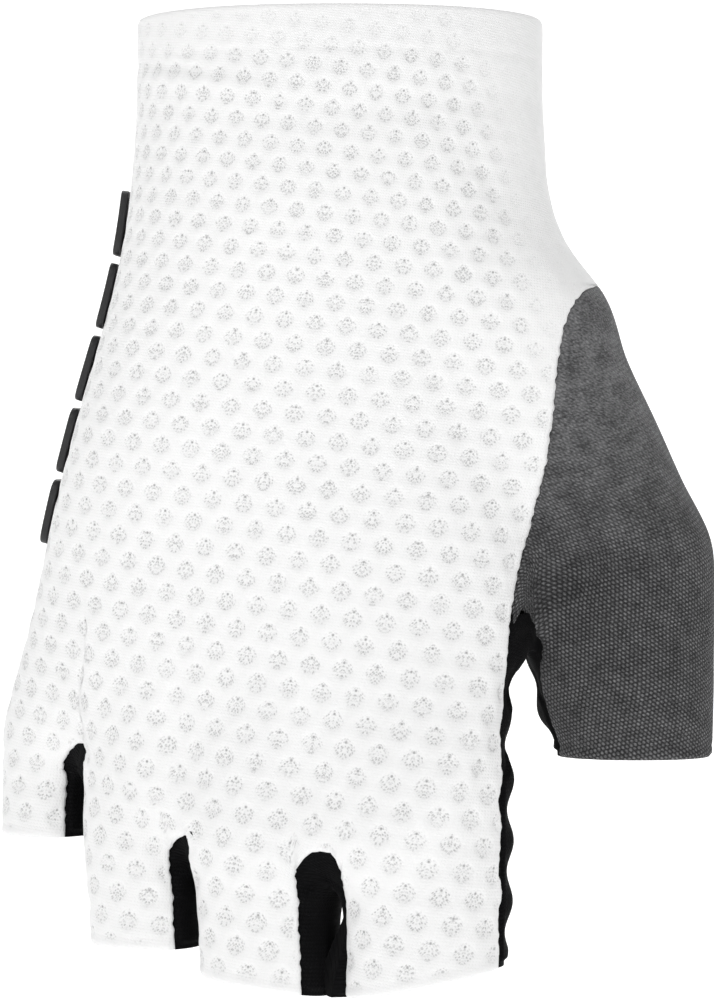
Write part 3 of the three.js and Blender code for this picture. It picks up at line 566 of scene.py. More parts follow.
def thumb_row(back, palm, row):
    """One row of the sleeve's upper part, from the back's seam round the thumb to the palm's seam."""
    z = back[2]
    section = section_at(THUMB, z)
    towards_web = smooth_step(row, THUMB_START_ROW, THUMB_WEB_ROW)
    tube_top = section_point(THUMB, thumb_angle(THUMB_TOP_COLUMNS), z)[0]
    shoulder = max(tube_top, lerp(back[0], section[0] + section[2], THUMB_SHOULDER))
    start = float(section_angle(THUMB, face_at_place(1, shoulder, z)))
    end = float(section_angle(THUMB, face_at_place(-1, shoulder, z)))
    end = end + 360 if end < start else end
    points = [back]
    for column in range(THUMB_COLUMNS + 1):
        from_edge = min(column, THUMB_COLUMNS - column)
        if from_edge < THUMB_TOP_COLUMNS:
            even = lerp(back[0], shoulder, (from_edge + 1) / (THUMB_TOP_COLUMNS + 1))
            place = lerp(even, section_point(THUMB, thumb_angle(column), z)[0], towards_web)
            clear = lerp(back[0], even, LEAST_COLUMN)
            points.append(face_at_place(1 if column < THUMB_COLUMNS / 2 else -1, max(place, clear), z))
        else:
            share = (column - THUMB_TOP_COLUMNS) / THUMB_OUTER_COLUMNS
            points.append(face_at_angle(THUMB, lerp(start, end, share), z))
    points.append(palm)
    return np.array(points)


def thumb_side_pairs(back_side, palm_side, start, stop):
    """The two panels' last points at the thumb side, row by row."""
    return [(back_side["palm"][row][-1], palm_side["palm"][row][-1]) for row in range(start, stop)]


def sleeve_grids(back_side, palm_side):
    """The sleeve above the thumb's web, and its tube below it."""
    edge = thumb_side_pairs(back_side, palm_side, THUMB_START_ROW, THUMB_WEB_ROW + 1)
    rows = [np.tile(edge[0][0], (THUMB_COLUMNS + 3, 1))]
    rows += [thumb_row(*edge[row], THUMB_START_ROW + row) for row in range(1, len(edge))]
    top = rows[-1][1:-1]
    hem = -THUMB_WEB * PALM_LENGTH - THUMB_LENGTH
    angles = section_angle(THUMB, top)
    number = np.arange(THUMB_COLUMNS + 1)
    angles = np.where((number > THUMB_COLUMNS / 2) & (angles < 0), angles + 360, angles)
    ends = np.array([thumb_angle(column) for column in number])
    tube = [top]
    for row in range(1, THUMB_TUBE_ROWS + 1):
        share = (row / THUMB_TUBE_ROWS) ** WEB_ROW_CROWDING
        z = np.full(len(top), lerp(top[0][2], hem, share))
        tube.append(settle(section_point(THUMB, lerp(angles, ends, share ** TUBE_TURNING), z)))
    return np.array(rows), np.array(tube)


STRIP_COLUMNS = 4


def strip_row(which, back, palm, level):
    row = [back]
    for column in range(1, STRIP_COLUMNS):
        share = column / STRIP_COLUMNS
        z = lerp(lerp(back[2], palm[2], share), level, math.sin(math.pi * share))
        at_level = np.array([back, palm]) * (1, 1, 0) + (0, 0, z)
        start, end = section_angle(which, at_level)
        turn = (end - start + 180) % 360 - 180
        row.append(section_point(which, start + turn * share, z))
    row.append(palm)
    return np.array(row)


def strip_grid(left, right, crotch):
    """A side strip: from one hem up to the web, over it and down to the next hem.
    left, right: (section, edges), edges being [back point, palm point] from the web down."""
    halves = []
    crossing = []
    for column in range(1, STRIP_COLUMNS):
        share = column / STRIP_COLUMNS
        middle = sum(lerp(edges[0][0], edges[0][1], share) for _, edges in (left, right)) / 2
        middle[2] = lerp(middle[2], crotch, math.sin(math.pi * share))
        crossing.append(middle)
    for which, edges in (left, right):
        rows = [np.array([edges[0][0], *crossing, edges[0][1]])]
        hem = (edges[-1][0][2] + edges[-1][1][2]) / 2
        for step in range(1, len(edges)):
            level = lerp(crotch, hem, step / (len(edges) - 1))
            rows.append(strip_row(which, *edges[step], level))
        halves.append(rows)
    grid = np.array(halves[0][::-1] + halves[1])
    inner = grid[:, 1:-1].reshape(-1, 3)
    grid[:, 1:-1] = settle(inner).reshape(grid[:, 1:-1].shape)
    return grid


def strip_grids(back_side, palm_side, tube):
    legs = {}
    for i in range(4):
        for name, line in (("thumb_side", -1), ("outer_side", 0)):
            edges = list(zip(back_side["fingers"][i][:, line], palm_side["fingers"][i][:, line]))
            legs[i, name] = (FIRST_FINGER + i, edges)
    grids = {}
    for i in range(3):
        crotch = -FINGERS["web"][i] * PALM_LENGTH - WEB_SAG
        name = f"side_strip_{FINGER_NAMES[i]}_{FINGER_NAMES[i + 1]}"
        grids[name] = strip_grid(legs[i, "thumb_side"], legs[i + 1, "outer_side"], crotch)
    above = thumb_side_pairs(back_side, palm_side, THUMB_WEB_ROW, WEB_ROW)
    index_leg = (FIRST_FINGER + 3, above + legs[3, "thumb_side"][1])
    thumb_leg = (THUMB, [(row[0], row[-1]) for row in tube])
    crotch = -THUMB_WEB * PALM_LENGTH - THUMB_WEB_SAG
    grids["side_strip_index_thumb"] = strip_grid(index_leg, thumb_leg, crotch)
    return grids


CALM_SLOPE = 2.5
CELL_STRETCH = 1.2          # cells are counted for this much more than their mean length
INNER_PARTS = 3             # cells of the inner face for each coarse cell
ROW_SMOOTHING, END_CROWDING = 14, 12
EVEN_ROWS = (0.72, 0.9)     # shares of the palm's rows between which the evening of its columns ends
PULL_REACH = 3.2
GAP_SLACK = 60              # columns of the palm for each one beside a gap that follows it down
CORNER_SHARPNESS = 1.4


def mean_gaps(grid, axis, by_level=False):
    """Mean distance between the grid's rows or columns; by level, only their steps down count."""
    steps = np.diff(grid, axis=axis)
    lengths = np.abs(steps[..., 2]) if by_level else np.linalg.norm(steps, axis=-1)
    return np.maximum(lengths.mean(axis=1 - axis), 1e-5)


def cell_counts(grid, axis, spacing, by_level=False):
    """How many fine cells each row or column of the grid takes."""
    cells_wanted = np.ceil(mean_gaps(grid, axis, by_level) * CELL_STRETCH / spacing)
    return np.maximum(cells_wanted, 1).astype(int)


def calm_slopes(keys, values, slopes):
    """Slopes held down where a short step meets a long one, so that no curve swings past its points."""
    rates = np.abs(np.diff(values, axis=0) / np.diff(keys)[:, None, None])
    before = np.concatenate([rates[:1], rates])
    after = np.concatenate([rates, rates[-1:]])
    most = CALM_SLOPE * np.minimum(before, after)
    return np.clip(slopes, -most, most)


def refined(grid, counts, axis, by_level=False):
    """The grid with counts cells in the place of each one, on smooth curves through its points."""
    keys = running_sum(mean_gaps(grid, axis, by_level))
    stops = np.concatenate([i + np.arange(n) / n for i, n in enumerate(counts)] + [[len(counts)]])
    places = np.interp(stops, np.arange(len(keys)), keys)
    lines = np.moveaxis(grid, axis, 0)
    return np.moveaxis(smooth_curve(keys, lines, places, calm_slopes), 0, axis)


def inner_stops(counts):
    """Rows or columns that the inner face uses too."""
    starts = running_sum(counts)
    parts = range(INNER_PARTS)
    stops = [start + n * part // INNER_PARTS for start, n in zip(starts, counts) for part in parts]
    return np.unique(stops + [starts[-1]])


def run_lengths(points):
    """Distance along each row of a grid from its first point."""
    steps = np.linalg.norm(np.diff(points, axis=1), axis=-1)
    return np.concatenate([np.zeros((len(points), 1)), np.cumsum(steps, axis=1)], axis=1)


class Patch:
    """A finely divided grid; kept rows and columns are those of the coarse one."""

    def __init__(self, grid, spacing, column_counts=None, by_level=True):
        row_counts = cell_counts(grid, 0, spacing, by_level)
        if column_counts is None:
            column_counts = cell_counts(grid, 1, spacing)
        self.points = refined(refined(grid, row_counts, 0, by_level), column_counts, 1)
        self.kept_rows = running_sum(row_counts)
        self.kept_columns = running_sum(column_counts)
        self.column_counts = column_counts
        self.inner_rows = inner_stops(row_counts)
        self.inner_columns = inner_stops(column_counts)
        self.across = run_lengths(self.points)
        self.down = -self.points[..., 2]

    def last_rows(self, coarse_rows):
        """1 in the last row, falling to 0 some coarse rows above it."""
        last = self.kept_rows[-1]
        above = last - np.arange(len(self.points))
        return fade(above, last - self.kept_rows[-1 - coarse_rows])[:, None]


def even_columns(points, reach):
    """Spreads the points alike along neighbouring rows; the ends and the last rows stay."""
    run = run_lengths(points)
    spread = np.pad(run, ((2 * reach, 2 * reach), (0, 0)), mode="edge")
    for _ in range(2):
        total = np.cumsum(spread, axis=0)
        spread = (total[2 * reach:] - total[:-2 * reach]) / (2 * reach)
    spread = spread[:len(points)]
    change = run[:, -1:] / spread[:, -1:]
    share = spread / spread[:, -1:]
    spread = spread + (change - 1) * spread[:, -1:] * share ** END_CROWDING
    start, end = [len(points) * part for part in EVEN_ROWS]
    weight = 1 - smooth_step(np.arange(len(points)), start, end)
    at = np.maximum.accumulate(lerp(run, spread, weight[:, None]), axis=1)
    evened = np.empty_like(points)
    for row, line in enumerate(points):
        for axis in range(3):
            evened[row, :, axis] = np.interp(at[row], run[row], line[:, axis])
    return evened


def point_at(line, place):
    """Points at distances along a line of points from its first one."""
    run = run_lengths(line[None])[0]
    return np.stack([np.interp(place, run, line[:, axis]) for axis in range(3)], -1)


def pulled_down(line, drop):
    """A finger's column that starts further down; its next points close up smoothly."""
    run = run_lengths(line[None])[0]
    return point_at(line, run + drop * fade(run, min(run[-1], PULL_REACH * drop)))


def round_gap(palm, left, right, first, last, drop):
    """Rounds the top of the gap between two fingers: the panel reaches down at its two corners."""
    number = np.arange(first, last + 1)
    share = (number - first) / (last - first)
    depth = drop * (1 - np.sqrt(np.maximum(1 - (2 * share - 1) ** 2, 0)))
    corners = palm.points[-1, [first, last]]
    lowered = lerp(point_at(left.points[:, -1], depth), point_at(right.points[:, 0], depth), share[:, None])
    moved = lowered - lerp(corners[0], corners[1], share[:, None])
    shifts = dict(zip(number.tolist(), moved))
    slack = palm.points.shape[1] // GAP_SLACK
    for finger, start, edge, inwards in ((left, first, -1, -1), (right, last, 0, 1)):
        for step in range(slack):
            here = edge + inwards * step
            before = finger.points[0, here].copy()
            finger.points[:, here] = pulled_down(finger.points[:, here], drop * fade(step, slack))
            shifts[start + inwards * step] = finger.points[0, here] - before
    for column, shift in shifts.items():
        palm.points[:, column] += palm.last_rows(1) * shift


def lower_corners(patch, columns, raised, drop, slack):
    """Shapes the edge over a gap: its middle is raised and its two corners sink."""
    first, last = columns
    number = np.arange(patch.points.shape[1])
    share = np.abs(np.clip(2 * (number - first) / (last - first) - 1, -1, 1))
    aside = np.maximum(first - number, number - last)
    sunk = lerp(-raised, drop, share ** CORNER_SHARPNESS) * fade(aside, slack)
    patch.points[..., 2] -= patch.last_rows(2) * sunk


def join_below(upper, lower, columns):
    """Draws the first rows of the lower patch to the last row of the upper one."""
    faded = fade(np.arange(len(lower.points)), lower.kept_rows[2])
    shift = upper.points[-1, columns] - lower.points[0]
    lower.points = lower.points + shift * faded[:, None, None]


def middle_run(line, run):
    """How far along a row of the palm its middle lies, at x = 0."""
    turn = slice(None) if line[-1, 0] > line[0, 0] else slice(None, None, -1)
    return np.interp(0.0, line[turn, 0], run[turn])


def panel_patches(panel, spacing):
    """Fine patches of one side: the palm and its four fingers, with measured places across and down."""
    palm = Patch(panel["palm"], spacing)
    palm.points = even_columns(palm.points, ROW_SMOOTHING)
    run = run_lengths(palm.points)
    palm.across = run - np.array([middle_run(*row) for row in zip(palm.points, run)])[:, None]
    fingers, spans = [], []
    for i, grid in enumerate(panel["fingers"]):
        line = int(np.nonzero(LINE_FINGER == i)[0][0])
        finger = Patch(grid, spacing, palm.column_counts[line:line + grid.shape[1] - 1])
        start = palm.kept_columns[line]
        span = slice(start, start + finger.points.shape[1])
        join_below(palm, finger, span)
        finger.points = settle(finger.points, rounds=2)
        centre = finger.points.shape[1] // 2
        lean = finger.points[:, centre, 0] - finger.points[0, centre, 0]
        along = run_lengths(finger.points)
        along = along - along[:, centre][:, None] + lean[:, None]
        finger.across = along + palm.across[-1, start + centre]
        fingers.append(finger)
        spans.append(span)
    for i, drop in enumerate(GAP_ROUNDING):
        round_gap(palm, fingers[i], fingers[i + 1], spans[i].stop - 1, spans[i + 1].start, drop)
    for finger, span in zip(fingers, spans):
        palm.points[-1, span] = finger.points[0]
    for patch in (palm, *fingers):
        patch.down = -patch.points[..., 2]
    return [palm, *fingers]


SAME_POINT = 1e-6           # points that are nearer than this are one
TURNED = 0.4                # a cell that agrees less than this with the form's face is turned over
SMOOTHING = 0.6


class Cloth:
    """Patches sewn into one sheet of points, with its fine outer cells and its wider inner ones."""

    def __init__(self, patches):
        points = np.concatenate([patch.points.reshape(-1, 3) for patch in patches])
        places = [np.stack([patch.across, patch.down], -1).reshape(-1, 2) for patch in patches]
        keys = np.round(points / SAME_POINT).astype(np.int64)
        _, first, number = np.unique(keys, axis=0, return_index=True, return_inverse=True)
        number = number.ravel()
        self.points = settle(points[first], rounds=2)
        self.places = np.concatenate(places)[first]
        self.outer, self.inner = [], []
        offset = 0
        for patch in patches:
            rows, columns = patch.points.shape[:2]
            grid = number[offset:offset + rows * columns].reshape(rows, columns)
            self.outer += cells(grid)
            self.inner += cells(grid[np.ix_(patch.inner_rows, patch.inner_columns)])
            offset += rows * columns
        self.find_normals()
        if self.facing()[1].sum() < 0:
            self.outer = [cell[::-1] for cell in self.outer]
            self.inner = [cell[::-1] for cell in self.inner]
        self.loops = edge_loops(self.outer)
        self.untangle()
        self.find_normals()

    def find_normals(self):
        self.normals = unit(hand_slope(self.points))

    def quads(self):
        return np.array([cell for cell in self.outer if len(cell) == 4])

    def facing(self):
        """The four-sided cells' sizes, and how far each faces the way that the form does."""
        quads = self.quads()
        corners = self.points[quads]
        facing = np.cross(corners[:, 2] - corners[:, 0], corners[:, 3] - corners[:, 1])
        return np.linalg.norm(facing, axis=-1), (facing * self.normals[quads[:, 0]]).sum(-1)

    def untangle(self, tries=5, rings=8, rounds=30):
        """Smooths the sheet where the form's creases have turned cells over."""
        quads = self.quads()
        edges = np.concatenate([quads[:, [i, (i + 1) % 4]] for i in range(4)])
        starts, ends = np.concatenate([edges, edges[:, ::-1]]).T
        count = len(self.points)
        neighbours = np.maximum(np.bincount(starts, minlength=count), 1)[:, None]
        for _ in range(tries):
            size, agree = self.facing()
            turned = agree < TURNED * size
            if not turned.any():
                break
            free = np.zeros(count, bool)
            free[quads[turned]] = True
            for _ in range(rings):
                free[quads[free[quads].any(axis=1)]] = True
            free[np.concatenate(self.loops)] = False
            for _ in range(rounds):
                total = [np.bincount(starts, self.points[ends, axis], count) for axis in range(3)]
                smoothed = lerp(self.points, np.stack(total, -1) / neighbours, SMOOTHING)
                self.points[free] = smoothed[free]

    def fold(self):
        """Bends the whole sheet into its soft folds."""
        self.points = self.points + self.normals * folds(self.points)[:, None]

    def edge_run(self):
        """For the edge points: the distance along their loop and the direction out of the sheet."""
        run = np.zeros(len(self.points))
        outward = np.zeros_like(self.points)
        for loop in self.loops:
            corners = self.points[loop]
            ahead = np.roll(corners, -1, axis=0) - corners
            run[loop] = np.cumsum(np.linalg.norm(ahead, axis=1))
            along = np.roll(corners, -2, axis=0) - np.roll(corners, 2, axis=0)
            aside = np.cross(along, self.normals[loop])
            outward[loop] = aside / np.maximum(np.linalg.norm(aside, axis=1, keepdims=True), 1e-9)
        return run, outward

    def edge_distance(self):
        """Distance of each point from the sheet's edges, and the number of the nearest edge point."""
        numbers = np.concatenate(self.loops)
        distance, found = nearest(self.points, self.points[numbers])
        return distance, numbers[found]

    def mesh(self, name, lift, wall, uv, relief=None):
        """A closed mesh: the fine outer face lifted by lift, and the wider inner face a wall further in."""
        kept = sorted({number for cell in self.inner for number in cell})
        inner_number = {number: len(self.points) + i for i, number in enumerate(kept)}
        walls = np.broadcast_to(wall, len(self.points))[kept]
        outer_points = self.points + self.normals * lift[:, None]
        inner_points = self.points[kept] - self.normals[kept] * walls[:, None]
        faces = [tuple(cell) for cell in self.outer]
        faces += [tuple(inner_number[number] for number in cell[::-1]) for cell in self.inner]
        for loop in self.loops:
            faces += rim_faces(loop, inner_number)
        mesh = bpy.data.meshes.new(name)
        mesh.from_pydata(np.concatenate([outer_points, inner_points]).tolist(), [], faces)
        layer = mesh.uv_layers.new(name="cloth")
        corners = np.empty(len(mesh.loops), np.int32)
        mesh.loops.foreach_get("vertex_index", corners)
        both = np.concatenate([uv, uv[kept]])
        layer.data.foreach_set("uv", both[corners].astype(np.float32).ravel())
        mesh.polygons.foreach_set("use_smooth", np.ones(len(mesh.polygons), bool))
        if relief is not None:
            values = mesh.attributes.new("relief", "FLOAT", "POINT")
            values.data.foreach_set("value", np.concatenate([relief, relief[kept]]).astype(np.float32))
        mesh.validate()
        return mesh


def cells(grid):
    """Cells of a grid of point numbers, without repeated corners."""
    corners = np.stack([grid[:-1, :-1], grid[1:, :-1], grid[1:, 1:], grid[:-1, 1:]], -1)
    found = [list(dict.fromkeys(cell)) for cell in corners.reshape(-1, 4).tolist()]
    return [cell for cell in found if len(cell) > 2]


def edge_loops(faces):
    """Closed loops of the free edges, each in the direction of its faces."""
    ahead = {}
    for face in faces:
        for start, end in zip(face, face[1:] + face[:1]):
            if (end, start) in ahead:
                del ahead[end, start]
            else:
                ahead[start, end] = True
    ahead = dict(ahead.keys())
    loops = []
    while ahead:
        start, point = ahead.popitem()
        loop = [start]
        while point != loop[0]:
            loop.append(point)
            point = ahead.pop(point)
        loops.append(loop)
    return loops


def rim_faces(loop, inner_number):
    """Faces between a fine outer edge and the wide inner one."""
    corners = [i for i, number in enumerate(loop) if number in inner_number]
    faces = []
    for here, there in zip(corners, corners[1:] + [corners[0] + len(loop)]):
        middle = (here + there) // 2
        start, end = inner_number[loop[here]], inner_number[loop[there % len(loop)]]
        for i in range(here, there):
            inner = start if i < middle else end
            faces.append((loop[(i + 1) % len(loop)], loop[i], inner))
        faces.append((loop[middle % len(loop)], start, end))
    return faces


# Dimples of the mesh: pitch across and row spacing down the hand, as the knit is stretched by it
DIMPLES = table(
    "down pitch spacing",
    (0.00, 0.00470, 0.00356),
    (0.20, 0.00480, 0.00362),
    (0.45, 0.00575, 0.00400),
    (0.70, 0.00590, 0.00445),
    (0.95, 0.00635, 0.00465),
    (1.20, 0.00640, 0.00470),
)
DIMPLE_FALL = 0.166            # the rows fall towards the thumb, rows for each dimple across
DIMPLE_SLANT = 0.152           # the columns lean away from the thumb, dimples for each row down
DIMPLE_RADIUS = 0.33           # share of the pitch
DIMPLE_POWER = 1.5             # 2 is round, 1 is a diamond
DIMPLE_EDGE = 0.15             # how soft the edge of its relief is
DIMPLE_RIM = (0.8, 1.08)       # shares of the radius between which the look of its floor ends
DIMPLE_TALL = 0.75             # a row's spacing in pitches


def dimple_places(places):
    """Places across and down, in metres, counted in dimples across and rows down."""
    down = np.linspace(0, 1.3, 800)
    pitch, spacing = read_table(DIMPLES, "down", down, "pitch", "spacing")
    rows = running_sum(PALM_LENGTH * np.diff(down) / spacing[1:])
    share = places[:, 1] / PALM_LENGTH
    across = places[:, 0] / np.interp(share, down, pitch)
    row = np.interp(share, down, rows)
    return np.stack([across + DIMPLE_SLANT * row, row - DIMPLE_FALL * across], -1)


def dimple_depth(uv):
    """1 in the middle of a dimple and 0 between them."""
    row = np.round(uv[:, 1])
    across = uv[:, 0] - 0.5 * (row % 2)
    off_across = np.abs(across - np.round(across))
    off_down = np.abs(uv[:, 1] - row) * DIMPLE_TALL
    away = (off_across ** DIMPLE_POWER + off_down ** DIMPLE_POWER) ** (1 / DIMPLE_POWER)
    return 1 - smooth_step(away, DIMPLE_RADIUS - DIMPLE_EDGE, DIMPLE_RADIUS + DIMPLE_EDGE / 2)


def nearest(points, targets):
    """Distance of each point from the closest target, and that target's number."""
    tree = kdtree.KDTree(len(targets))
    for i, target in enumerate(targets):
        tree.insert(target, i)
    tree.balance()
    found = [tree.find(point) for point in points]
    return np.array([item[2] for item in found]), np.array([item[1] for item in found])


def rolled_edge(distance, reach, drop):
    """How far the face sinks towards an edge that is folded in."""
    share = 1 - np.clip(distance / reach, 0, 1)
    return -drop * (1 - np.sqrt(np.maximum(1 - share * share, 0)))


def groove(distance, place, width, depth):
    return -depth * np.exp(-((distance - place) / width) ** 2)


# Soft folds and hollows seen from the back: place of the middle, direction in degrees from across to
# down, half length, half width, and depth, less than 0 for a ridge; all in metres
FOLDS = table(
    "x z turn length width depth",
    (-0.0300, -0.0095, 12, 0.0090, 0.0009, 0.00030),
    (-0.0260, -0.0125, 8, 0.0120, 0.0022, -0.00035),
    (0.0090, -0.0170, -6, 0.0260, 0.0035, 0.00040),
    (0.0280, -0.0330, 52, 0.0140, 0.0024, 0.00045),
    (0.0340, -0.0420, 55, 0.0120, 0.0020, -0.00040),
    (-0.0460, -0.1160, 84, 0.0130, 0.0028, 0.00090),
    (-0.0290, -0.1290, 84, 0.0140, 0.0030, 0.00090),
    (-0.0055, -0.1330, 88, 0.0130, 0.0040, 0.00090),
    (0.0415, -0.0975, -35, 0.0080, 0.0040, 0.00370),
    (0.0450, -0.0900, -20, 0.0100, 0.0030, -0.00100),
    (0.0500, -0.0870, 70, 0.0150, 0.0030, -0.00060),
    (0.0585, -0.1080, 24, 0.0120, 0.0030, 0.00050),
    (0.0470, -0.1190, 78, 0.0100, 0.0030, 0.00060),
)


def folds(points):
    """How far the cloth stands off or sinks in its soft folds on the back of the hand."""
    lift = np.zeros(len(points))
    to_back = smooth_step(-points[:, 1], -0.004, 0.006)
    for x, z, turn, length, width, depth in zip(*FOLDS.values()):
        angle = math.radians(turn)
        right, down = points[:, 0] - x, z - points[:, 2]
        along = right * math.cos(angle) + down * math.sin(angle)
        aside = down * math.cos(angle) - right * math.sin(angle)
        lift -= depth * np.exp(-(along / length) ** 2 - (aside / width) ** 2)
    return lift * to_back


# Waves along a drawn edge: length, height and start; the long ones' heights are shares of the scallop
FINE_WAVES = ((0.0019, 0.00010, 0.0), (0.0031, 0.00009, 1.3))
LONG_WAVES = ((0.0107, 1.0, 0.0), (0.0064, 0.5, 0.7))


def waves(run, rows):
    return sum(height * np.sin(2 * math.pi * run / length + start) for length, height, start in rows)


def ragged(run, scallop):
    """Uneven line of an edge that an elastic seam draws together."""
    return waves(run, FINE_WAVES) + scallop * waves(run, LONG_WAVES)


@cache
def grids():
    """The coarse grids of all the cloth pieces."""
    back, palm = side_panel(1), side_panel(-1)
    sleeve, tube = sleeve_grids(back, palm)
    return {"back": back, "palm": palm, "sleeve": sleeve, "tube": tube, **strip_grids(back, palm, tube)}


CENTIMETRES = 100


def finish_piece(name, mesh, material, node):
    piece = bpy.data.objects.new(name, mesh)
    bpy.context.scene.collection.objects.link(piece)
    mesh.materials.append(material)
    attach(piece, "root")
    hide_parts(node)
    return piece


class Graph:
    """Short calls for making a node tree."""

    def __init__(self, tree):
        self.tree = tree

    def node(self, kind, inputs=None, **settings):
        node = self.tree.nodes.new(kind)
        for key, value in settings.items():
            setattr(node, key, value)
        for key, value in (inputs or {}).items():
            self.put(node.inputs[key], value)
        return node

    def put(self, socket, value):
        if isinstance(value, bpy.types.NodeSocket):
            self.tree.links.new(value, socket)
        else:
            socket.default_value = value

    def math(self, operation, *values):
        return self.node("ShaderNodeMath", dict(enumerate(values)), operation=operation).outputs[0]

    def plus(self, a, b):
        return self.math("ADD", a, b)

    def minus(self, a, b):
        return self.math("SUBTRACT", a, b)

    def times(self, a, b):
        return self.math("MULTIPLY", a, b)

    def blend(self, a, share_a, b, share_b):
        """The sum of two values, each times its share."""
        return self.plus(self.times(a, share_a), self.times(b, share_b))

    def span(self, value, size, start):
        """A value from 0 to 1 spread over a size from its start."""
        return self.math("MULTIPLY_ADD", value, size, start)

    def length(self, a, b):
        return self.math("SQRT", self.plus(self.times(a, a), self.times(b, b)))

    def off_middle(self, value):
        """How far a place lies from the middle of its cell of size 1."""
        return self.minus(self.math("FRACT", value), 0.5)

    def step(self, value, low, high):
        inputs = {"Value": value, "From Min": low, "From Max": high}
        return self.node("ShaderNodeMapRange", inputs, interpolation_type="SMOOTHSTEP").outputs[0]

    def inside(self, value, low, high):
        """1 up to the low value, falling to 0 at the high one."""
        return self.minus(1.0, self.step(value, low, high))

    def mix(self, factor, a, b):
        """Mixes two colours, each a socket or three numbers."""
        node = self.node("ShaderNodeMix", data_type="RGBA")
        self.put(node.inputs[0], factor)
        for place, colour in ((6, a), (7, b)):
            made = isinstance(colour, bpy.types.NodeSocket)
            self.put(node.inputs[place], colour if made else (*colour, 1))
        return node.outputs[2]

    def split(self, vector):
        return self.node("ShaderNodeSeparateXYZ", {0: vector}).outputs

    def join(self, x, y):
        return self.node("ShaderNodeCombineXYZ", {0: x, 1: y}).outputs[0]

    def scaled(self, vector, *scale):
        return self.node("ShaderNodeMapping", {"Vector": vector, "Scale": scale}).outputs[0]

    def noise(self, vector, scale, detail=2.0, roughness=0.5):
        inputs = {"Vector": vector, "Scale": scale, "Detail": detail, "Roughness": roughness}
        return self.node("ShaderNodeTexNoise", inputs).outputs["Fac"]

    def group(self, tree, **inputs):
        return self.node("ShaderNodeGroup", inputs, node_tree=tree).outputs

    def cloth_place(self):
        return self.node("ShaderNodeUVMap", uv_map="cloth").outputs[0]

    def solid_place(self):
        return self.node("ShaderNodeTexCoord").outputs["Object"]


def new_group(name, outputs, **given):
    """A node group that takes a place and the given numbers: its graph and the sockets of its ends."""
    tree = bpy.data.node_groups.new(name, "ShaderNodeTree")
    tree.interface.new_socket("Place", in_out="INPUT", socket_type="NodeSocketVector")
    for socket, value in given.items():
        made = tree.interface.new_socket(socket, in_out="INPUT", socket_type="NodeSocketFloat")
        made.default_value = value
    for socket in outputs:
        tree.interface.new_socket(socket, in_out="OUTPUT", socket_type="NodeSocketFloat")
    graph = Graph(tree)
    return graph, graph.node("NodeGroupInput").outputs, graph.node("NodeGroupOutput").inputs


# The open knit of a dimple: marks for each dimple along and across their slant, and a dark dot of painted
# shadow under its upper rim
MARKS_ALONG, MARKS_ACROSS = 7.0, 11.0
MARK_SHIFT_ROW, MARK_SHIFT_COLUMN = 3.7, 5.3
MARK_SIZE = (0.18, 0.46)
RIM_SHADOW_ABOVE, RIM_SHADOW_SIZE = 0.19, (0.01, 0.06)


@cache
def dimple_group():
    """Masks of the dimples, from places counted in dimples and rows: the pit, the short marks of its
    open knit and a dark dot at its upper end, painted as the shadow of its upper rim."""
    graph, given, out = new_group("dimples", ["Pit", "Marks", "RimShadow"])
    x, y, _ = graph.split(given["Place"])
    row = graph.math("ROUND", y)
    across = graph.minus(x, graph.times(graph.math("FLOORED_MODULO", row, 2.0), 0.5))
    column = graph.math("ROUND", across)
    aside = graph.math("ABSOLUTE", graph.minus(across, column))
    along = graph.times(graph.minus(y, row), DIMPLE_TALL)
    powers = [graph.math("POWER", part, DIMPLE_POWER) for part in (aside, graph.math("ABSOLUTE", along))]
    away = graph.math("POWER", graph.plus(*powers), 1 / DIMPLE_POWER)
    graph.put(out["Pit"], graph.inside(away, *[DIMPLE_RADIUS * share for share in DIMPLE_RIM]))
    down_slant = graph.times(graph.plus(aside, along), MARKS_ALONG)
    up_slant = graph.times(graph.minus(aside, along), MARKS_ACROSS)
    place = graph.join(graph.span(row, MARK_SHIFT_ROW, down_slant),
                       graph.span(column, MARK_SHIFT_COLUMN, up_slant))
    marks = graph.node("ShaderNodeTexVoronoi", {"Vector": place, "Scale": 1.0, "Randomness": 0.85},
                       voronoi_dimensions="2D").outputs
    strength = graph.span(graph.split(marks["Color"])[0], 0.9, 0.1)
    graph.put(out["Marks"], graph.times(graph.inside(marks["Distance"], *MARK_SIZE), strength))
    # painted shadow: a dark dot under the dimple's upper rim
    rim_shadow = graph.length(aside, graph.plus(along, RIM_SHADOW_ABOVE))
    graph.put(out["RimShadow"], graph.inside(rim_shadow, *RIM_SHADOW_SIZE))
    return graph.tree


@cache
def loops_group():
    """Height of knitted loops: columns of small V shapes."""
    graph, given, out = new_group("knitted_loops", ["Height"], Slope=0.8)
    x, y, _ = graph.split(given["Place"])
    aside = graph.math("ABSOLUTE", graph.off_middle(x))
    along = graph.plus(y, graph.times(aside, given["Slope"]))
    loop = graph.inside(graph.math("ABSOLUTE", graph.off_middle(along)), 0.12, 0.5)
    graph.put(out["Height"], graph.times(loop, graph.step(aside, 0.0, 0.18)))
    return graph.tree


@cache
def beads_group():
    """Height of a pique knit: staggered small raised beads."""
    graph, given, out = new_group("knitted_beads", ["Height"], Fill=0.5)
    x, y, _ = graph.split(given["Place"])
    odd = graph.math("FLOORED_MODULO", graph.math("FLOOR", y), 2.0)
    x = graph.plus(x, graph.times(odd, 0.5))
    away = graph.length(graph.off_middle(x), graph.off_middle(y))
    graph.put(out["Height"], graph.inside(away, 0.1, given["Fill"]))
    return graph.tree


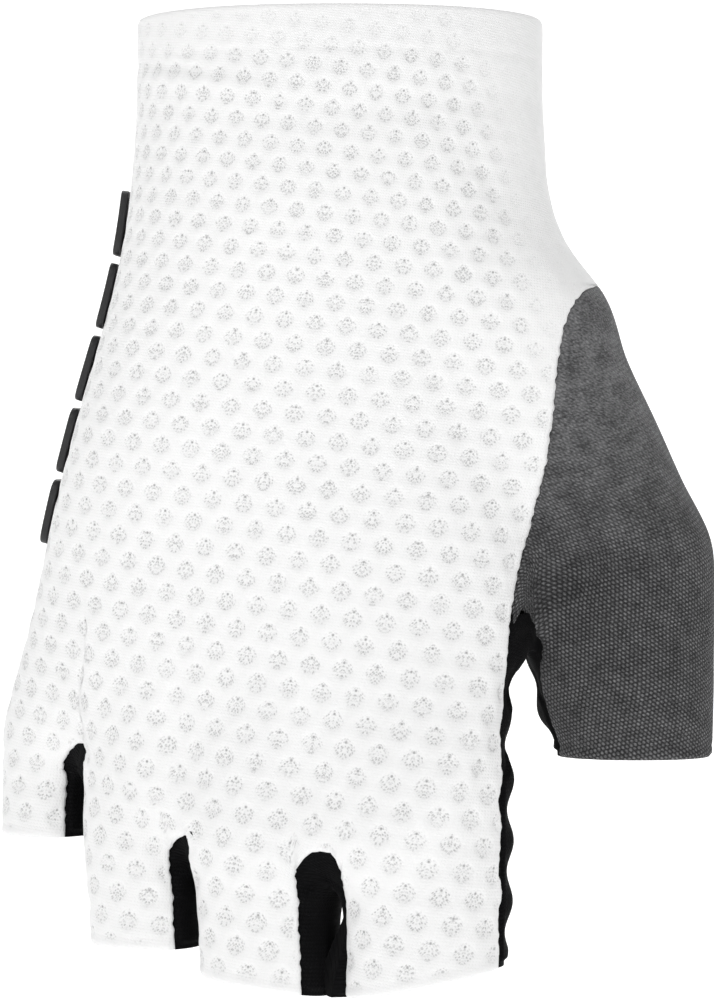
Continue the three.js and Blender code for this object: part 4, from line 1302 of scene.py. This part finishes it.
def new_material(name, roughness, sheen=0.0, specular=0.5):
    material = bpy.data.materials.new(name)
    material.use_nodes = True
    material.node_tree.nodes.clear()
    graph = Graph(material.node_tree)
    output = graph.node("ShaderNodeOutputMaterial")
    shader = graph.node("ShaderNodeBsdfPrincipled")
    shader.inputs["Roughness"].default_value = roughness
    shader.inputs["Specular IOR Level"].default_value = specular
    shader.inputs["Sheen Weight"].default_value = sheen
    shader.inputs["Sheen Roughness"].default_value = 0.5
    graph.put(output.inputs["Surface"], shader.outputs[0])
    return material, graph, shader.inputs


def shade(colour, share):
    return [part * share for part in colour]


def cover(graph, shader, colour, height, depth, strength):
    """Gives a shader its colour, and the relief of a height that is depth metres deep."""
    graph.put(shader["Base Color"], colour)
    bump = graph.node("ShaderNodeBump", {"Height": height, "Distance": depth, "Strength": strength})
    graph.put(shader["Normal"], bump.outputs[0])


def mesh_material(look):
    """White mesh: smooth ribs between dimples, each with a floor of fine open knit and a dot of painted
    shadow under its upper rim.
    """
    material, graph, shader = new_material("white_mesh", 0.8, 0.05, 0.2)
    place, solid = graph.cloth_place(), graph.solid_place()
    dimples = graph.group(dimple_group(), Place=place)
    relief = graph.node("ShaderNodeAttribute", attribute_name="relief").outputs["Fac"]
    pit = graph.times(dimples["Pit"], relief)
    loops = graph.group(loops_group(), Place=graph.scaled(place, 10, 8, 1), Slope=0.7)["Height"]
    # mask of the open knit's holes and of the painted shadow dot under each dimple's upper rim
    holes_and_rim_shadow = graph.times(graph.math("MAXIMUM", dimples["Marks"], graph.times(dimples["RimShadow"], 1.5)), pit)
    fibres = graph.noise(graph.scaled(solid, 1, 1, 0.4), 2600.0)
    cloud = graph.blend(graph.noise(solid, 90.0, 3.0), 0.5, fibres, 0.5)
    land = graph.mix(cloud, shade(look.mesh_colour, 0.93), look.mesh_colour)
    colour = graph.mix(graph.times(pit, 0.6), land, look.dimple_colour)
    # the holes and the painted rim shadow both take the dark grey
    colour = graph.mix(graph.math("MINIMUM", graph.times(holes_and_rim_shadow, 0.45), 1.0), colour, look.hole_and_rim_shadow_colour)
    height = graph.minus(graph.blend(loops, 0.5, fibres, 0.6), graph.times(holes_and_rim_shadow, 1.2))
    cover(graph, shader, colour, height, 0.00012, 0.7)
    return material


KNIT_TURN = math.radians(-38)
KNIT_GROWS = (6.0, 10.5)     # centimetres down the thumb between which the beads grow and the painted shade between them deepens


def knit_material(look):
    """Grey mottled pique knit; its beads stand higher towards the thumb's hem, and the hollows between them
    are painted darker as shade.
    """
    material, graph, shader = new_material("grey_knit", 0.85, 0.08, 0.15)
    place, solid = graph.cloth_place(), graph.solid_place()
    turn = {"Vector": place, "Angle": KNIT_TURN}
    turned = graph.node("ShaderNodeVectorRotate", turn, rotation_type="Z_AXIS").outputs[0]
    rows = graph.scaled(turned, 11, 16.5, 1)
    beads = graph.group(beads_group(), Place=rows, Fill=0.55)["Height"]
    grown = graph.step(graph.split(place)[1], *KNIT_GROWS)
    fibres = graph.noise(graph.scaled(solid, 1, 1, 2.5), 1500.0, 3.0, 0.6)
    mottle = graph.noise(solid, 260.0, 3.0, 0.6)
    yarn = graph.step(graph.blend(fibres, 0.65, mottle, 0.35), 0.33, 0.68)
    colour = graph.mix(yarn, look.knit_dark, look.knit_light)
    # painted shade in the hollows between the beads, deeper where the beads stand higher
    shade_between_beads = graph.times(graph.minus(1.0, beads), graph.span(grown, 0.55, 0.3))
    # the painted shade is a near-black made from the dark yarn
    colour = graph.mix(shade_between_beads, colour, shade(look.knit_dark, 0.12))
    height = graph.plus(graph.times(beads, graph.span(grown, 0.6, 0.4)), graph.times(fibres, 0.3))
    cover(graph, shader, colour, height, 0.00028, 1.0)
    return material


def stretch_material(look):
    """Black stretch cloth of fine knitted loops, painted darker in the hollows between them as shade."""
    material, graph, shader = new_material("black_stretch", 0.85, 0.02, 0.06)
    place, solid = graph.cloth_place(), graph.solid_place()
    loops = graph.group(loops_group(), Place=graph.scaled(place, 16, 14, 1), Slope=0.8)["Height"]
    # a random lighter tone on the loops' tops, and painted shade in the hollows between them
    cloud = graph.times(graph.noise(solid, 300.0, 3.0), loops)
    colour = graph.mix(cloud, shade(look.strip_colour, 0.6), shade(look.strip_colour, 1.6))
    cover(graph, shader, colour, loops, 0.0001, 0.7)
    return material


def suede_material(look):
    """Plain black microfibre: a short nap that lies in soft patches."""
    material, graph, shader = new_material("black_microfibre", 0.9, 0.06, 0.08)
    solid = graph.solid_place()
    patches = graph.noise(solid, 70.0, 4.0, 0.55)
    nap = graph.noise(solid, 3500.0)
    colour = graph.mix(graph.step(patches, 0.35, 0.65), shade(look.palm_colour, 0.75),
                       shade(look.palm_colour, 1.35))
    colour = graph.mix(graph.times(nap, 0.35), colour, shade(look.palm_colour, 2.2))
    graph.put(shader["Roughness"], graph.span(patches, 0.2, 0.72))
    cover(graph, shader, colour, nap, 0.0001, 0.5)
    return material


def rubber_material(look):
    """Moulded black rubber, slightly glossy on top, with fine scuffs."""
    material, graph, shader = new_material("black_rubber", 0.45, 0.0, 0.4)
    solid = graph.solid_place()
    cloud = graph.noise(solid, 400.0, 4.0)
    scuffs = graph.noise(graph.scaled(solid, 1, 1, 0.15), 1800.0, 3.0)
    colour = graph.mix(cloud, shade(look.rubber_colour, 0.8), shade(look.rubber_colour, 1.25))
    graph.put(shader["Roughness"], graph.span(scuffs, 0.3, 0.3))
    cover(graph, shader, colour, scuffs, 0.00003, 0.4)
    return material


def length_property(name, description, default, least):
    return FloatProperty(name=name, description=description, default=default, min=least, max=0.003,
                         precision=5, subtype="DISTANCE", unit="LENGTH")


def colour_property(name, description, default):
    return FloatVectorProperty(name=name, description=description, default=default, size=3,
                               min=0, max=1, subtype="COLOR")


class GloveSizes(bpy.types.PropertyGroup):
    """Sizes of the cloth's relief."""
    dimple_depth: length_property("Dimple depth", "Depth of the dimples in the mesh", 0.00032, 0)
    mesh_spacing: length_property("Mesh spacing", "Size of the mesh's finest cells", 0.00059, 0.0003)
    cloth_spacing: length_property("Cloth spacing", "Size of the other pieces' finest cells", 0.0008, 0.0004)
    bar_height: length_property("Bar height", "How far the bars stand off the cloth", 0.0016, 0.0005)
    bar_count: IntProperty(
        name="Bars", description="How many rubber bars stand on the hand's outer edge",
        default=5, min=1, max=5)


class GloveLook(bpy.types.PropertyGroup):
    """Colours of the cloth and the rubber."""
    mesh_colour: colour_property("Mesh", "White mesh between its dimples", (0.93, 0.93, 0.93))
    dimple_colour: colour_property("Dimples", "Open knit on the dimples' floor", (0.88, 0.88, 0.88))
    # also the colour of the painted shadow dot under each dimple's upper rim
    hole_and_rim_shadow_colour: colour_property("Holes", "Small holes in the open knit", (0.20, 0.20, 0.20))
    knit_dark: colour_property("Knit, dark", "Dark yarn of the thumb's knit", (0.065, 0.065, 0.067))
    knit_light: colour_property("Knit, light", "Light yarn of the thumb's knit", (0.25, 0.25, 0.256))
    strip_colour: colour_property("Strips", "Stretch cloth between the fingers", (0.004, 0.004, 0.0045))
    palm_colour: colour_property("Palm", "Microfibre of the palm", (0.008, 0.008, 0.0085))
    rubber_colour: colour_property("Rubber", "Rubber of the bars", (0.016, 0.016, 0.017))


# Finish of the sewn edges: how they roll in, the pressed line by a hem and the wave of a drawn seam
EDGE_ROLL, WAVE_REACH = 0.0011, 0.003
HEM_LINE, HEM_LINE_WIDTH = 0.0021, 0.0004
HEM_CALM = (0.0005, 0.004)
PANEL_ROLL, PANEL_LINE = 0.0003, 0.0001
SLEEVE_ROLL, SLEEVE_LINE = 0.00055, 0.00015
PANEL_WAVE, INDEX_WAVE = 0.00008, 0.00035
CUFF_LINE = (0.0005, 0.00012)
CUFF_LAYER = 0.001


def sew(cloth, hem, roll, line, scallop, hold):
    """Rolls the sheet's edges in, presses a line by its hem, folds it and makes its edges uneven.
    scallop and hold: the long wave's height and the share of all waves, at each point."""
    distance, edge = cloth.edge_distance()
    from_hem = nearest(cloth.points, hem)[0]
    run, outward = cloth.edge_run()
    wave = ragged(run, scallop) * smooth_step(from_hem, *HEM_CALM) * hold
    cloth.fold()
    moved = wave[edge] * fade(distance, WAVE_REACH)
    cloth.points = cloth.points + outward[edge] * moved[:, None]
    lift = rolled_edge(distance, EDGE_ROLL, roll) + groove(from_hem, HEM_LINE, HEM_LINE_WIDTH, line)
    return lift, distance, from_hem


def sewn_panel(side, spacing, wall):
    """One side of the glove as a sewn sheet: its lift, its wall and its distances from edge and hem."""
    patches = panel_patches(grids()[side], spacing)
    cloth = Cloth(patches)
    x, down = cloth.points[:, 0], -cloth.points[:, 2]
    by_index = smooth_step(x, INDEX[0], INDEX[0] + INDEX[2] / 2) * smooth_step(down / PALM_LENGTH, 0.72, 0.8)
    cuff_line = groove(down, CUFF_HEM, *CUFF_LINE)
    hem = np.concatenate([patch.points[-1] for patch in patches[1:]])
    below_cuff = smooth_step(down / PALM_LENGTH, 0.02, 0.05)
    scallop = PANEL_WAVE + INDEX_WAVE * by_index
    lift, distance, from_hem = sew(cloth, hem, PANEL_ROLL, PANEL_LINE, scallop, below_cuff)
    walls = wall + CUFF_LAYER * (cloth.points[:, 2] > -CUFF_HEM)
    return cloth, lift + cuff_line, walls, distance, from_hem


# The mesh is drawn flat by the thumb side of the cuff: its start across at the cuff and further down
FLAT_AT_CUFF, FLAT_BELOW, FLAT_FADE = 0.017, 0.029, 0.009
FLAT_DOWN, FLAT_END = 0.055, 0.07
FLATTENED = 0.85
# How full the dimples of the cuff's hem are, and the distances from an edge and a hem at which they fade in
HEM_DIMPLES, EDGE_FADE, HEM_FADE = 0.45, (0.0004, 0.0016), (0.0008, 0.0032)


def dimple_strength(points, distance, from_hem):
    """1 where the dimples are full, less in the hems, by the edges and where the cloth is drawn flat."""
    x, down = points[:, 0], -points[:, 2]
    strength = lerp(HEM_DIMPLES, 1.0, smooth_step(down, CUFF_HEM * 0.7, CUFF_HEM * 1.3))
    strength = strength * smooth_step(distance, *EDGE_FADE) * smooth_step(from_hem, *HEM_FADE)
    start = lerp(FLAT_AT_CUFF, FLAT_BELOW, np.clip(down / FLAT_DOWN, 0, 1))
    drawn = smooth_step(x, start, start + FLAT_FADE) * (1 - smooth_step(down, FLAT_DOWN, FLAT_END))
    return strength * (1 - FLATTENED * drawn)


class AddBackPanel(bpy.types.Operator):
    """Adds the dimpled white mesh over the back of the hand and the fingers"""
    bl_idname = "glove.add_back_panel"
    bl_label = "Back panel"

    def execute(self, context):
        sizes = context.scene.glove_sizes
        cloth, lift, walls, distance, from_hem = sewn_panel("back", sizes.mesh_spacing, MESH_WALL)
        places = dimple_places(cloth.places)
        strength = dimple_strength(cloth.points, distance, from_hem)
        lift -= sizes.dimple_depth * dimple_depth(places) * strength
        mesh = cloth.mesh("back_panel_mesh", lift, walls, places, strength)
        finish_piece("mesh_back", mesh, mesh_material(context.scene.glove_look), "back_panel")
        return {"FINISHED"}


class AddPalmPanel(bpy.types.Operator):
    """Adds the plain black microfibre palm"""
    bl_idname = "glove.add_palm_panel"
    bl_label = "Palm panel"

    def execute(self, context):
        cloth, lift, walls, _, _ = sewn_panel("palm", context.scene.glove_sizes.cloth_spacing, PALM_WALL)
        mesh = cloth.mesh("palm_panel_mesh", lift, walls, cloth.places * CENTIMETRES)
        material = suede_material(context.scene.glove_look)
        finish_piece("suede_palm", mesh, material, "palm_panel")
        return {"FINISHED"}


def centred_patch(grid, spacing, **settings):
    """A patch whose places across are measured from its middle column."""
    patch = Patch(grid, spacing, **settings)
    middle = patch.kept_columns[len(patch.column_counts) // 2]
    patch.across = patch.across - patch.across[:, middle:middle + 1]
    return patch


class AddThumbSleeve(bpy.types.Operator):
    """Adds the grey knitted thumb sleeve"""
    bl_idname = "glove.add_thumb_sleeve"
    bl_label = "Thumb sleeve"

    def execute(self, context):
        spacing = context.scene.glove_sizes.cloth_spacing
        upper = centred_patch(grids()["sleeve"], spacing)
        for ends in (upper.kept_columns[:2], upper.kept_columns[-2:]):
            lower_corners(upper, ends, THUMB_GAP_RAISED, THUMB_GAP_ROUNDING, upper.column_counts[1])
        tube = centred_patch(grids()["tube"], spacing, column_counts=upper.column_counts[1:-1])
        join_below(upper, tube, slice(upper.kept_columns[1], upper.kept_columns[-2] + 1))
        cloth = Cloth([upper, tube])
        lift, _, _ = sew(cloth, tube.points[-1], SLEEVE_ROLL, SLEEVE_LINE, 0, 1)
        mesh = cloth.mesh("thumb_sleeve_mesh", lift, KNIT_WALL, cloth.places * CENTIMETRES)
        material = knit_material(context.scene.glove_look)
        finish_piece("knit_thumb", mesh, material, "thumb_sleeve")
        return {"FINISHED"}


# The strips' edges run on under the panels' edges, further at the corners of the gap
TUCK_WIDTH, TUCK_DEPTH, TUCK_FADE, TUCK_REACH = 0.0009, 0.00065, 0.0013, 0.003
CORNER_REACH = 0.0085
THUMB_TUCK, THUMB_TUCK_REACH, THUMB_TUCK_FADE = 0.0008, 0.005, (0.002, 0.008)
# Ripples that an elastic seam draws into a strip, and the fold that shows in some of the gaps
RIPPLE_LENGTH, RIPPLE_START = 0.0107, 0.0025
RIPPLE, INDEX_RIPPLE = 0.0002, 0.0006
FOLD_MIDDLE, FOLD_WIDTH, FOLD_START = -0.0015, 0.0042, 0.006
STRIP_FOLDS = {"side_strip_middle_index": 0.0042, "side_strip_ring_middle": 0.0005}


def tuck_under(cloth, patch, at_thumb, fold):
    """Lays a strip's edges under its neighbours, deeper at the corners of the gap, and ripples it."""
    distance, edge = cloth.edge_distance()
    outward = cloth.edge_run()[1]
    middle = len(patch.kept_rows) // 2
    corners = patch.points[patch.kept_rows[middle - 1:middle + 1]][:, [0, -1]]
    from_corner = nearest(cloth.points, corners.reshape(-1, 3))[0]
    softer = (1 - smooth_step(from_corner, CORNER_REACH * 0.6, CORNER_REACH)) * CORNER_REACH * 0.6
    fade_in = TUCK_FADE + softer
    lift = -TUCK_DEPTH * (1 - smooth_step(distance, fade_in * 0.6, fade_in * 1.2))
    off_hem = smooth_step(nearest(cloth.points, patch.points[[0, -1]].reshape(-1, 3))[0], 0.0003, 0.003)
    height = (INDEX_RIPPLE if at_thumb else RIPPLE) * smooth_step(distance, 0.001, 0.004) * off_hem
    lift += height * np.sin(2 * math.pi * (-cloth.points[:, 2] - RIPPLE_START) / RIPPLE_LENGTH)
    across, along = cloth.places.T
    second_leg = smooth_step(along - along.max() / 2, 0.0, FOLD_START)
    lift += fold * second_leg * np.exp(-((across - FOLD_MIDDLE) / FOLD_WIDTH) ** 2)
    tuck, reach = TUCK_WIDTH, TUCK_REACH
    if at_thumb:
        at_top = 1 - smooth_step(nearest(cloth.points, corners.mean(axis=0))[0], *THUMB_TUCK_FADE)
        tuck = tuck + (THUMB_GAP_RAISED + THUMB_TUCK) * at_top
        reach = reach + THUMB_TUCK_REACH * at_top
    moved = fade(distance, reach) * off_hem * tuck
    cloth.points = settle(cloth.points + outward[edge] * moved[:, None], rounds=2)
    return lift


class AddSideStrips(bpy.types.Operator):
    """Adds the black stretch strips between the fingers"""
    bl_idname = "glove.add_side_strips"
    bl_label = "Side strips"

    def execute(self, context):
        material = stretch_material(context.scene.glove_look)
        spacing = context.scene.glove_sizes.cloth_spacing * 0.6
        for node in [name for name in grids() if name.startswith("side_strip")]:
            patch = centred_patch(grids()[node], spacing, by_level=False)
            patch.down = run_lengths(patch.points.transpose(1, 0, 2)).T
            cloth = Cloth([patch])
            lift = tuck_under(cloth, patch, node == "side_strip_index_thumb", STRIP_FOLDS.get(node, 0))
            mesh = cloth.mesh(f"{node}_mesh", lift, STRIP_WALL, cloth.places * CENTIMETRES)
            finish_piece(node.replace("side_strip", "stretch_strip"), mesh, material, node)
        return {"FINISHED"}


# Rubber bars: plates with two lengthwise grooves
BAR_LENGTH, BAR_WIDTH, BAR_SPACING, BAR_CORNER = 0.0115, 0.009, 0.0014, 0.0024
BAR_GROOVE_WIDTH, BAR_GROOVE_DEPTH, BAR_GROOVE_PLACE = 0.001, 0.0006, 0.36
BAR_START, BAR_ANGLE, BAR_GAP = 0.0297, -94, 0.0003
BAR_BEVEL = 0.00022
BAR_SIDE_CUTS, BAR_END_CUTS = 0.72, (-1, -0.5, 0, 0.5, 1)


def only_active(piece):
    bpy.ops.object.select_all(action="DESELECT")
    piece.select_set(True)
    bpy.context.view_layer.objects.active = piece


def height_change(piece, edge):
    ends = [piece.data.vertices[i].co.z for i in edge.vertices]
    return ends[0] - ends[1]


def select_parts(piece, kind, wanted):
    """Selects the piece's edges or faces that are wanted, and leaves it in edit mode."""
    bpy.ops.object.mode_set(mode="EDIT")
    bpy.ops.mesh.select_mode(type=kind)
    bpy.ops.mesh.select_all(action="DESELECT")
    bpy.ops.object.mode_set(mode="OBJECT")
    for part in piece.data.edges if kind == "EDGE" else piece.data.polygons:
        part.select = wanted(part)
    bpy.ops.object.mode_set(mode="EDIT")


def flat_bar(height):
    """One bar lying flat: X across, Y along, Z up, with its grooves pressed in."""
    bpy.ops.object.select_all(action="DESELECT")
    bpy.ops.mesh.primitive_cube_add(size=1, location=(0, 0, height / 2))
    bar = bpy.context.object
    bar.scale = (BAR_WIDTH, BAR_LENGTH, height)
    bpy.ops.object.transform_apply(location=True, rotation=False, scale=True)
    select_parts(bar, "EDGE", lambda edge: abs(height_change(bar, edge)) > height / 2)
    bpy.ops.mesh.bevel(offset=BAR_CORNER, segments=6, affect="EDGES")
    middle = BAR_WIDTH / 2 * BAR_GROOVE_PLACE
    flat_end = BAR_LENGTH / 2 - BAR_CORNER
    across = [side * (middle + edge * BAR_GROOVE_WIDTH / 2) for side in (-1, 1) for edge in (-1, 1)]
    across += [side * BAR_SIDE_CUTS * BAR_WIDTH / 2 for side in (0, -1, 1)]
    along = [share * flat_end for share in BAR_END_CUTS]
    for cuts, normal in ((across, (1, 0, 0)), (along, (0, 1, 0))):
        for cut in cuts:
            bpy.ops.mesh.select_all(action="SELECT")
            bpy.ops.mesh.bisect(plane_co=[cut * part for part in normal], plane_no=normal)

    def on_groove(face):
        x, y = abs(face.center.x), abs(face.center.y)
        return face.normal.z > 0.9 and abs(x - middle) < BAR_GROOVE_WIDTH / 2 and y < flat_end

    select_parts(bar, "FACE", on_groove)
    bpy.ops.mesh.extrude_region_move(TRANSFORM_OT_translate={"value": (0, 0, -BAR_GROOVE_DEPTH)})
    bpy.ops.object.mode_set(mode="OBJECT")
    bevel = bar.modifiers.new("soft_edges", "BEVEL")
    bevel.width = BAR_BEVEL
    bevel.segments = 3
    bevel.limit_method = "ANGLE"
    bevel.angle_limit = math.radians(40)
    only_active(bar)
    bpy.ops.object.modifier_apply(modifier=bevel.name)
    return bar


def wrap_bar(mesh, number):
    """Lays a flat bar along the outer edge of the hand."""
    flat = np.empty(len(mesh.vertices) * 3)
    mesh.vertices.foreach_get("co", flat)
    flat = flat.reshape(-1, 3)
    middle = -BAR_START - BAR_LENGTH / 2 - number * (BAR_LENGTH + BAR_SPACING)
    centre = face_at_angle(PALM, BAR_ANGLE, middle + flat[:, 1])
    slope = hand_slope(centre)
    aside = unit(np.stack([-slope[:, 1], slope[:, 0], 0 * slope[:, 0]], 1))
    ground = settle(centre + aside * flat[:, :1], rounds=5)
    wrapped = ground + unit(hand_slope(ground)) * (BAR_GAP + flat[:, 2:])
    mesh.vertices.foreach_set("co", wrapped.ravel())
    mesh.update()


class AddBars(bpy.types.Operator):
    """Adds the rubber bars on the outer edge of the hand"""
    bl_idname = "glove.add_bars"
    bl_label = "Rubber bars"

    def execute(self, context):
        sizes = context.scene.glove_sizes
        material = rubber_material(context.scene.glove_look)
        first = flat_bar(sizes.bar_height - BAR_GAP)
        for number in range(sizes.bar_count):
            mesh = first.data.copy()
            wrap_bar(mesh, number)
            mesh.materials.clear()
            name, node = f"rubber_bar_{number + 1}", f"grip_bar_{number + 1}"
            piece = finish_piece(name, mesh, material, node)
            only_active(piece)
            bpy.ops.object.shade_smooth_by_angle(angle=math.radians(35))
        bpy.data.objects.remove(first)
        return {"FINISHED"}


# Stage: a camera level with the middle of the glove, a pale floor and soft light
CAMERA_DISTANCE = 0.56
CAMERA_ACROSS = 0.003
CAMERA_LEVEL = -0.0847
VIEW_HEIGHT = 0.178
FLOOR_LEVEL = -0.27
FLOOR_REACH = 36
FLOOR_DEPTH, FLOOR_MIDDLE = 5.4, 1.1
FLOOR_FRONT = -1.5
SWEEP_START, SWEEP_RADIUS = 0.4, 0.5
FLOOR_GLOW, WORLD_GLOW = 0.5, 0.24


# Square lamps that face the glove: place, size and power in watts
LAMPS = {
    "key_light": ((-0.35, -0.8, 0.4), 0.45, 3.3),
    "fill_light": ((0.6, -0.7, 0.05), 0.6, 0.85),
    "top_light": ((0.0, 0.1, 0.9), 0.9, 2.0),
    "back_light": ((0.2, 0.8, 0.3), 0.6, 2.0),
}


def add_lamp(name, place, size, power):
    light = bpy.data.lights.new(name, "AREA")
    light.shape = "SQUARE"
    light.size = size
    light.energy = power
    lamp = bpy.data.objects.new(name, light)
    lamp.location = place
    lamp.rotation_euler = (Vector((0, 0, CAMERA_LEVEL)) - Vector(place)).to_track_quat("-Z", "Y").to_euler()
    bpy.context.scene.collection.objects.link(lamp)


def sweep_height(y):
    """The floor's height and place: it runs back flat and then curves up into the backdrop."""
    past = y - SWEEP_START
    if past <= 0:
        return 0.0, y
    angle = min(past / SWEEP_RADIUS, math.pi / 2)
    rest = max(past - SWEEP_RADIUS * math.pi / 2, 0)
    return SWEEP_RADIUS * (1 - math.cos(angle)) + rest, SWEEP_START + SWEEP_RADIUS * math.sin(angle)


class AddStage(bpy.types.Operator):
    """Adds the camera, the floor with its backdrop and the lights"""
    bl_idname = "glove.add_stage"
    bl_label = "Stage"

    def execute(self, context):
        bpy.ops.object.select_all(action="DESELECT")
        bpy.ops.mesh.primitive_grid_add(x_subdivisions=4, y_subdivisions=90, size=1)
        floor = context.object
        floor.name = "floor"
        for vertex in floor.data.vertices:
            rise, y = sweep_height(vertex.co.y * FLOOR_DEPTH + FLOOR_MIDDLE)
            y = y if y > FLOOR_FRONT else -FLOOR_REACH / 2
            vertex.co = (vertex.co.x * FLOOR_REACH, y, FLOOR_LEVEL + rise)
        bpy.ops.object.shade_smooth()
        material, graph, shader = new_material("pale_floor", 0.9)
        cloud = graph.noise(graph.solid_place(), 3.0)
        graph.put(shader["Base Color"], graph.mix(cloud, (0.9, 0.9, 0.9), (0.92, 0.92, 0.92)))
        shader["Emission Color"].default_value = (1, 1, 1, 1)
        shader["Emission Strength"].default_value = FLOOR_GLOW
        floor.data.materials.append(material)

        camera = bpy.data.objects.new("camera", bpy.data.cameras.new("camera"))
        camera.data.sensor_fit = "VERTICAL"
        camera.data.lens = camera.data.sensor_height * CAMERA_DISTANCE / VIEW_HEIGHT
        camera.data.clip_start = 0.01
        camera.location = (CAMERA_ACROSS, -CAMERA_DISTANCE, CAMERA_LEVEL)
        camera.rotation_euler = (math.pi / 2, 0, 0)
        context.scene.collection.objects.link(camera)
        context.scene.camera = camera

        for name, lamp in LAMPS.items():
            add_lamp(name, *lamp)
        world = bpy.data.worlds.new("soft_white")
        world.use_nodes = True
        background = world.node_tree.nodes["Background"].inputs
        background["Color"].default_value = (1, 1, 1, 1)
        background["Strength"].default_value = WORLD_GLOW
        context.scene.world = world
        context.scene.view_settings.view_transform = "Standard"
        return {"FINISHED"}


class GlovePanel(bpy.types.Panel):
    """Lists the glove's sizes, colours and pieces"""
    bl_idname = "GLOVE_PT_panel"
    bl_label = "Cycling Glove"
    bl_space_type = "VIEW_3D"
    bl_region_type = "UI"
    bl_category = "Glove"

    def draw(self, context):
        for group_of in (context.scene.glove_sizes, context.scene.glove_look):
            box = self.layout.box()
            for name in group_of.__annotations__:
                box.prop(group_of, name)
        for operator in OPERATORS:
            self.layout.operator(operator.bl_idname)


OPERATORS = (AddBackPanel, AddPalmPanel, AddThumbSleeve, AddSideStrips, AddBars, AddStage)
CLASSES = (GloveSizes, GloveLook, *OPERATORS, GlovePanel)


def register():
    for cls in CLASSES:
        bpy.utils.register_class(cls)
    bpy.types.Scene.glove_sizes = PointerProperty(type=GloveSizes)
    bpy.types.Scene.glove_look = PointerProperty(type=GloveLook)


def unregister():
    del bpy.types.Scene.glove_look
    del bpy.types.Scene.glove_sizes
    for cls in reversed(CLASSES):
        bpy.utils.unregister_class(cls)


def main():
    register()
    bpy.ops.glove.add_back_panel()
    bpy.ops.glove.add_palm_panel()
    bpy.ops.glove.add_thumb_sleeve()
    bpy.ops.glove.add_side_strips()
    bpy.ops.glove.add_bars()
    bpy.ops.glove.add_stage()


if __name__ == "__main__":
    main()
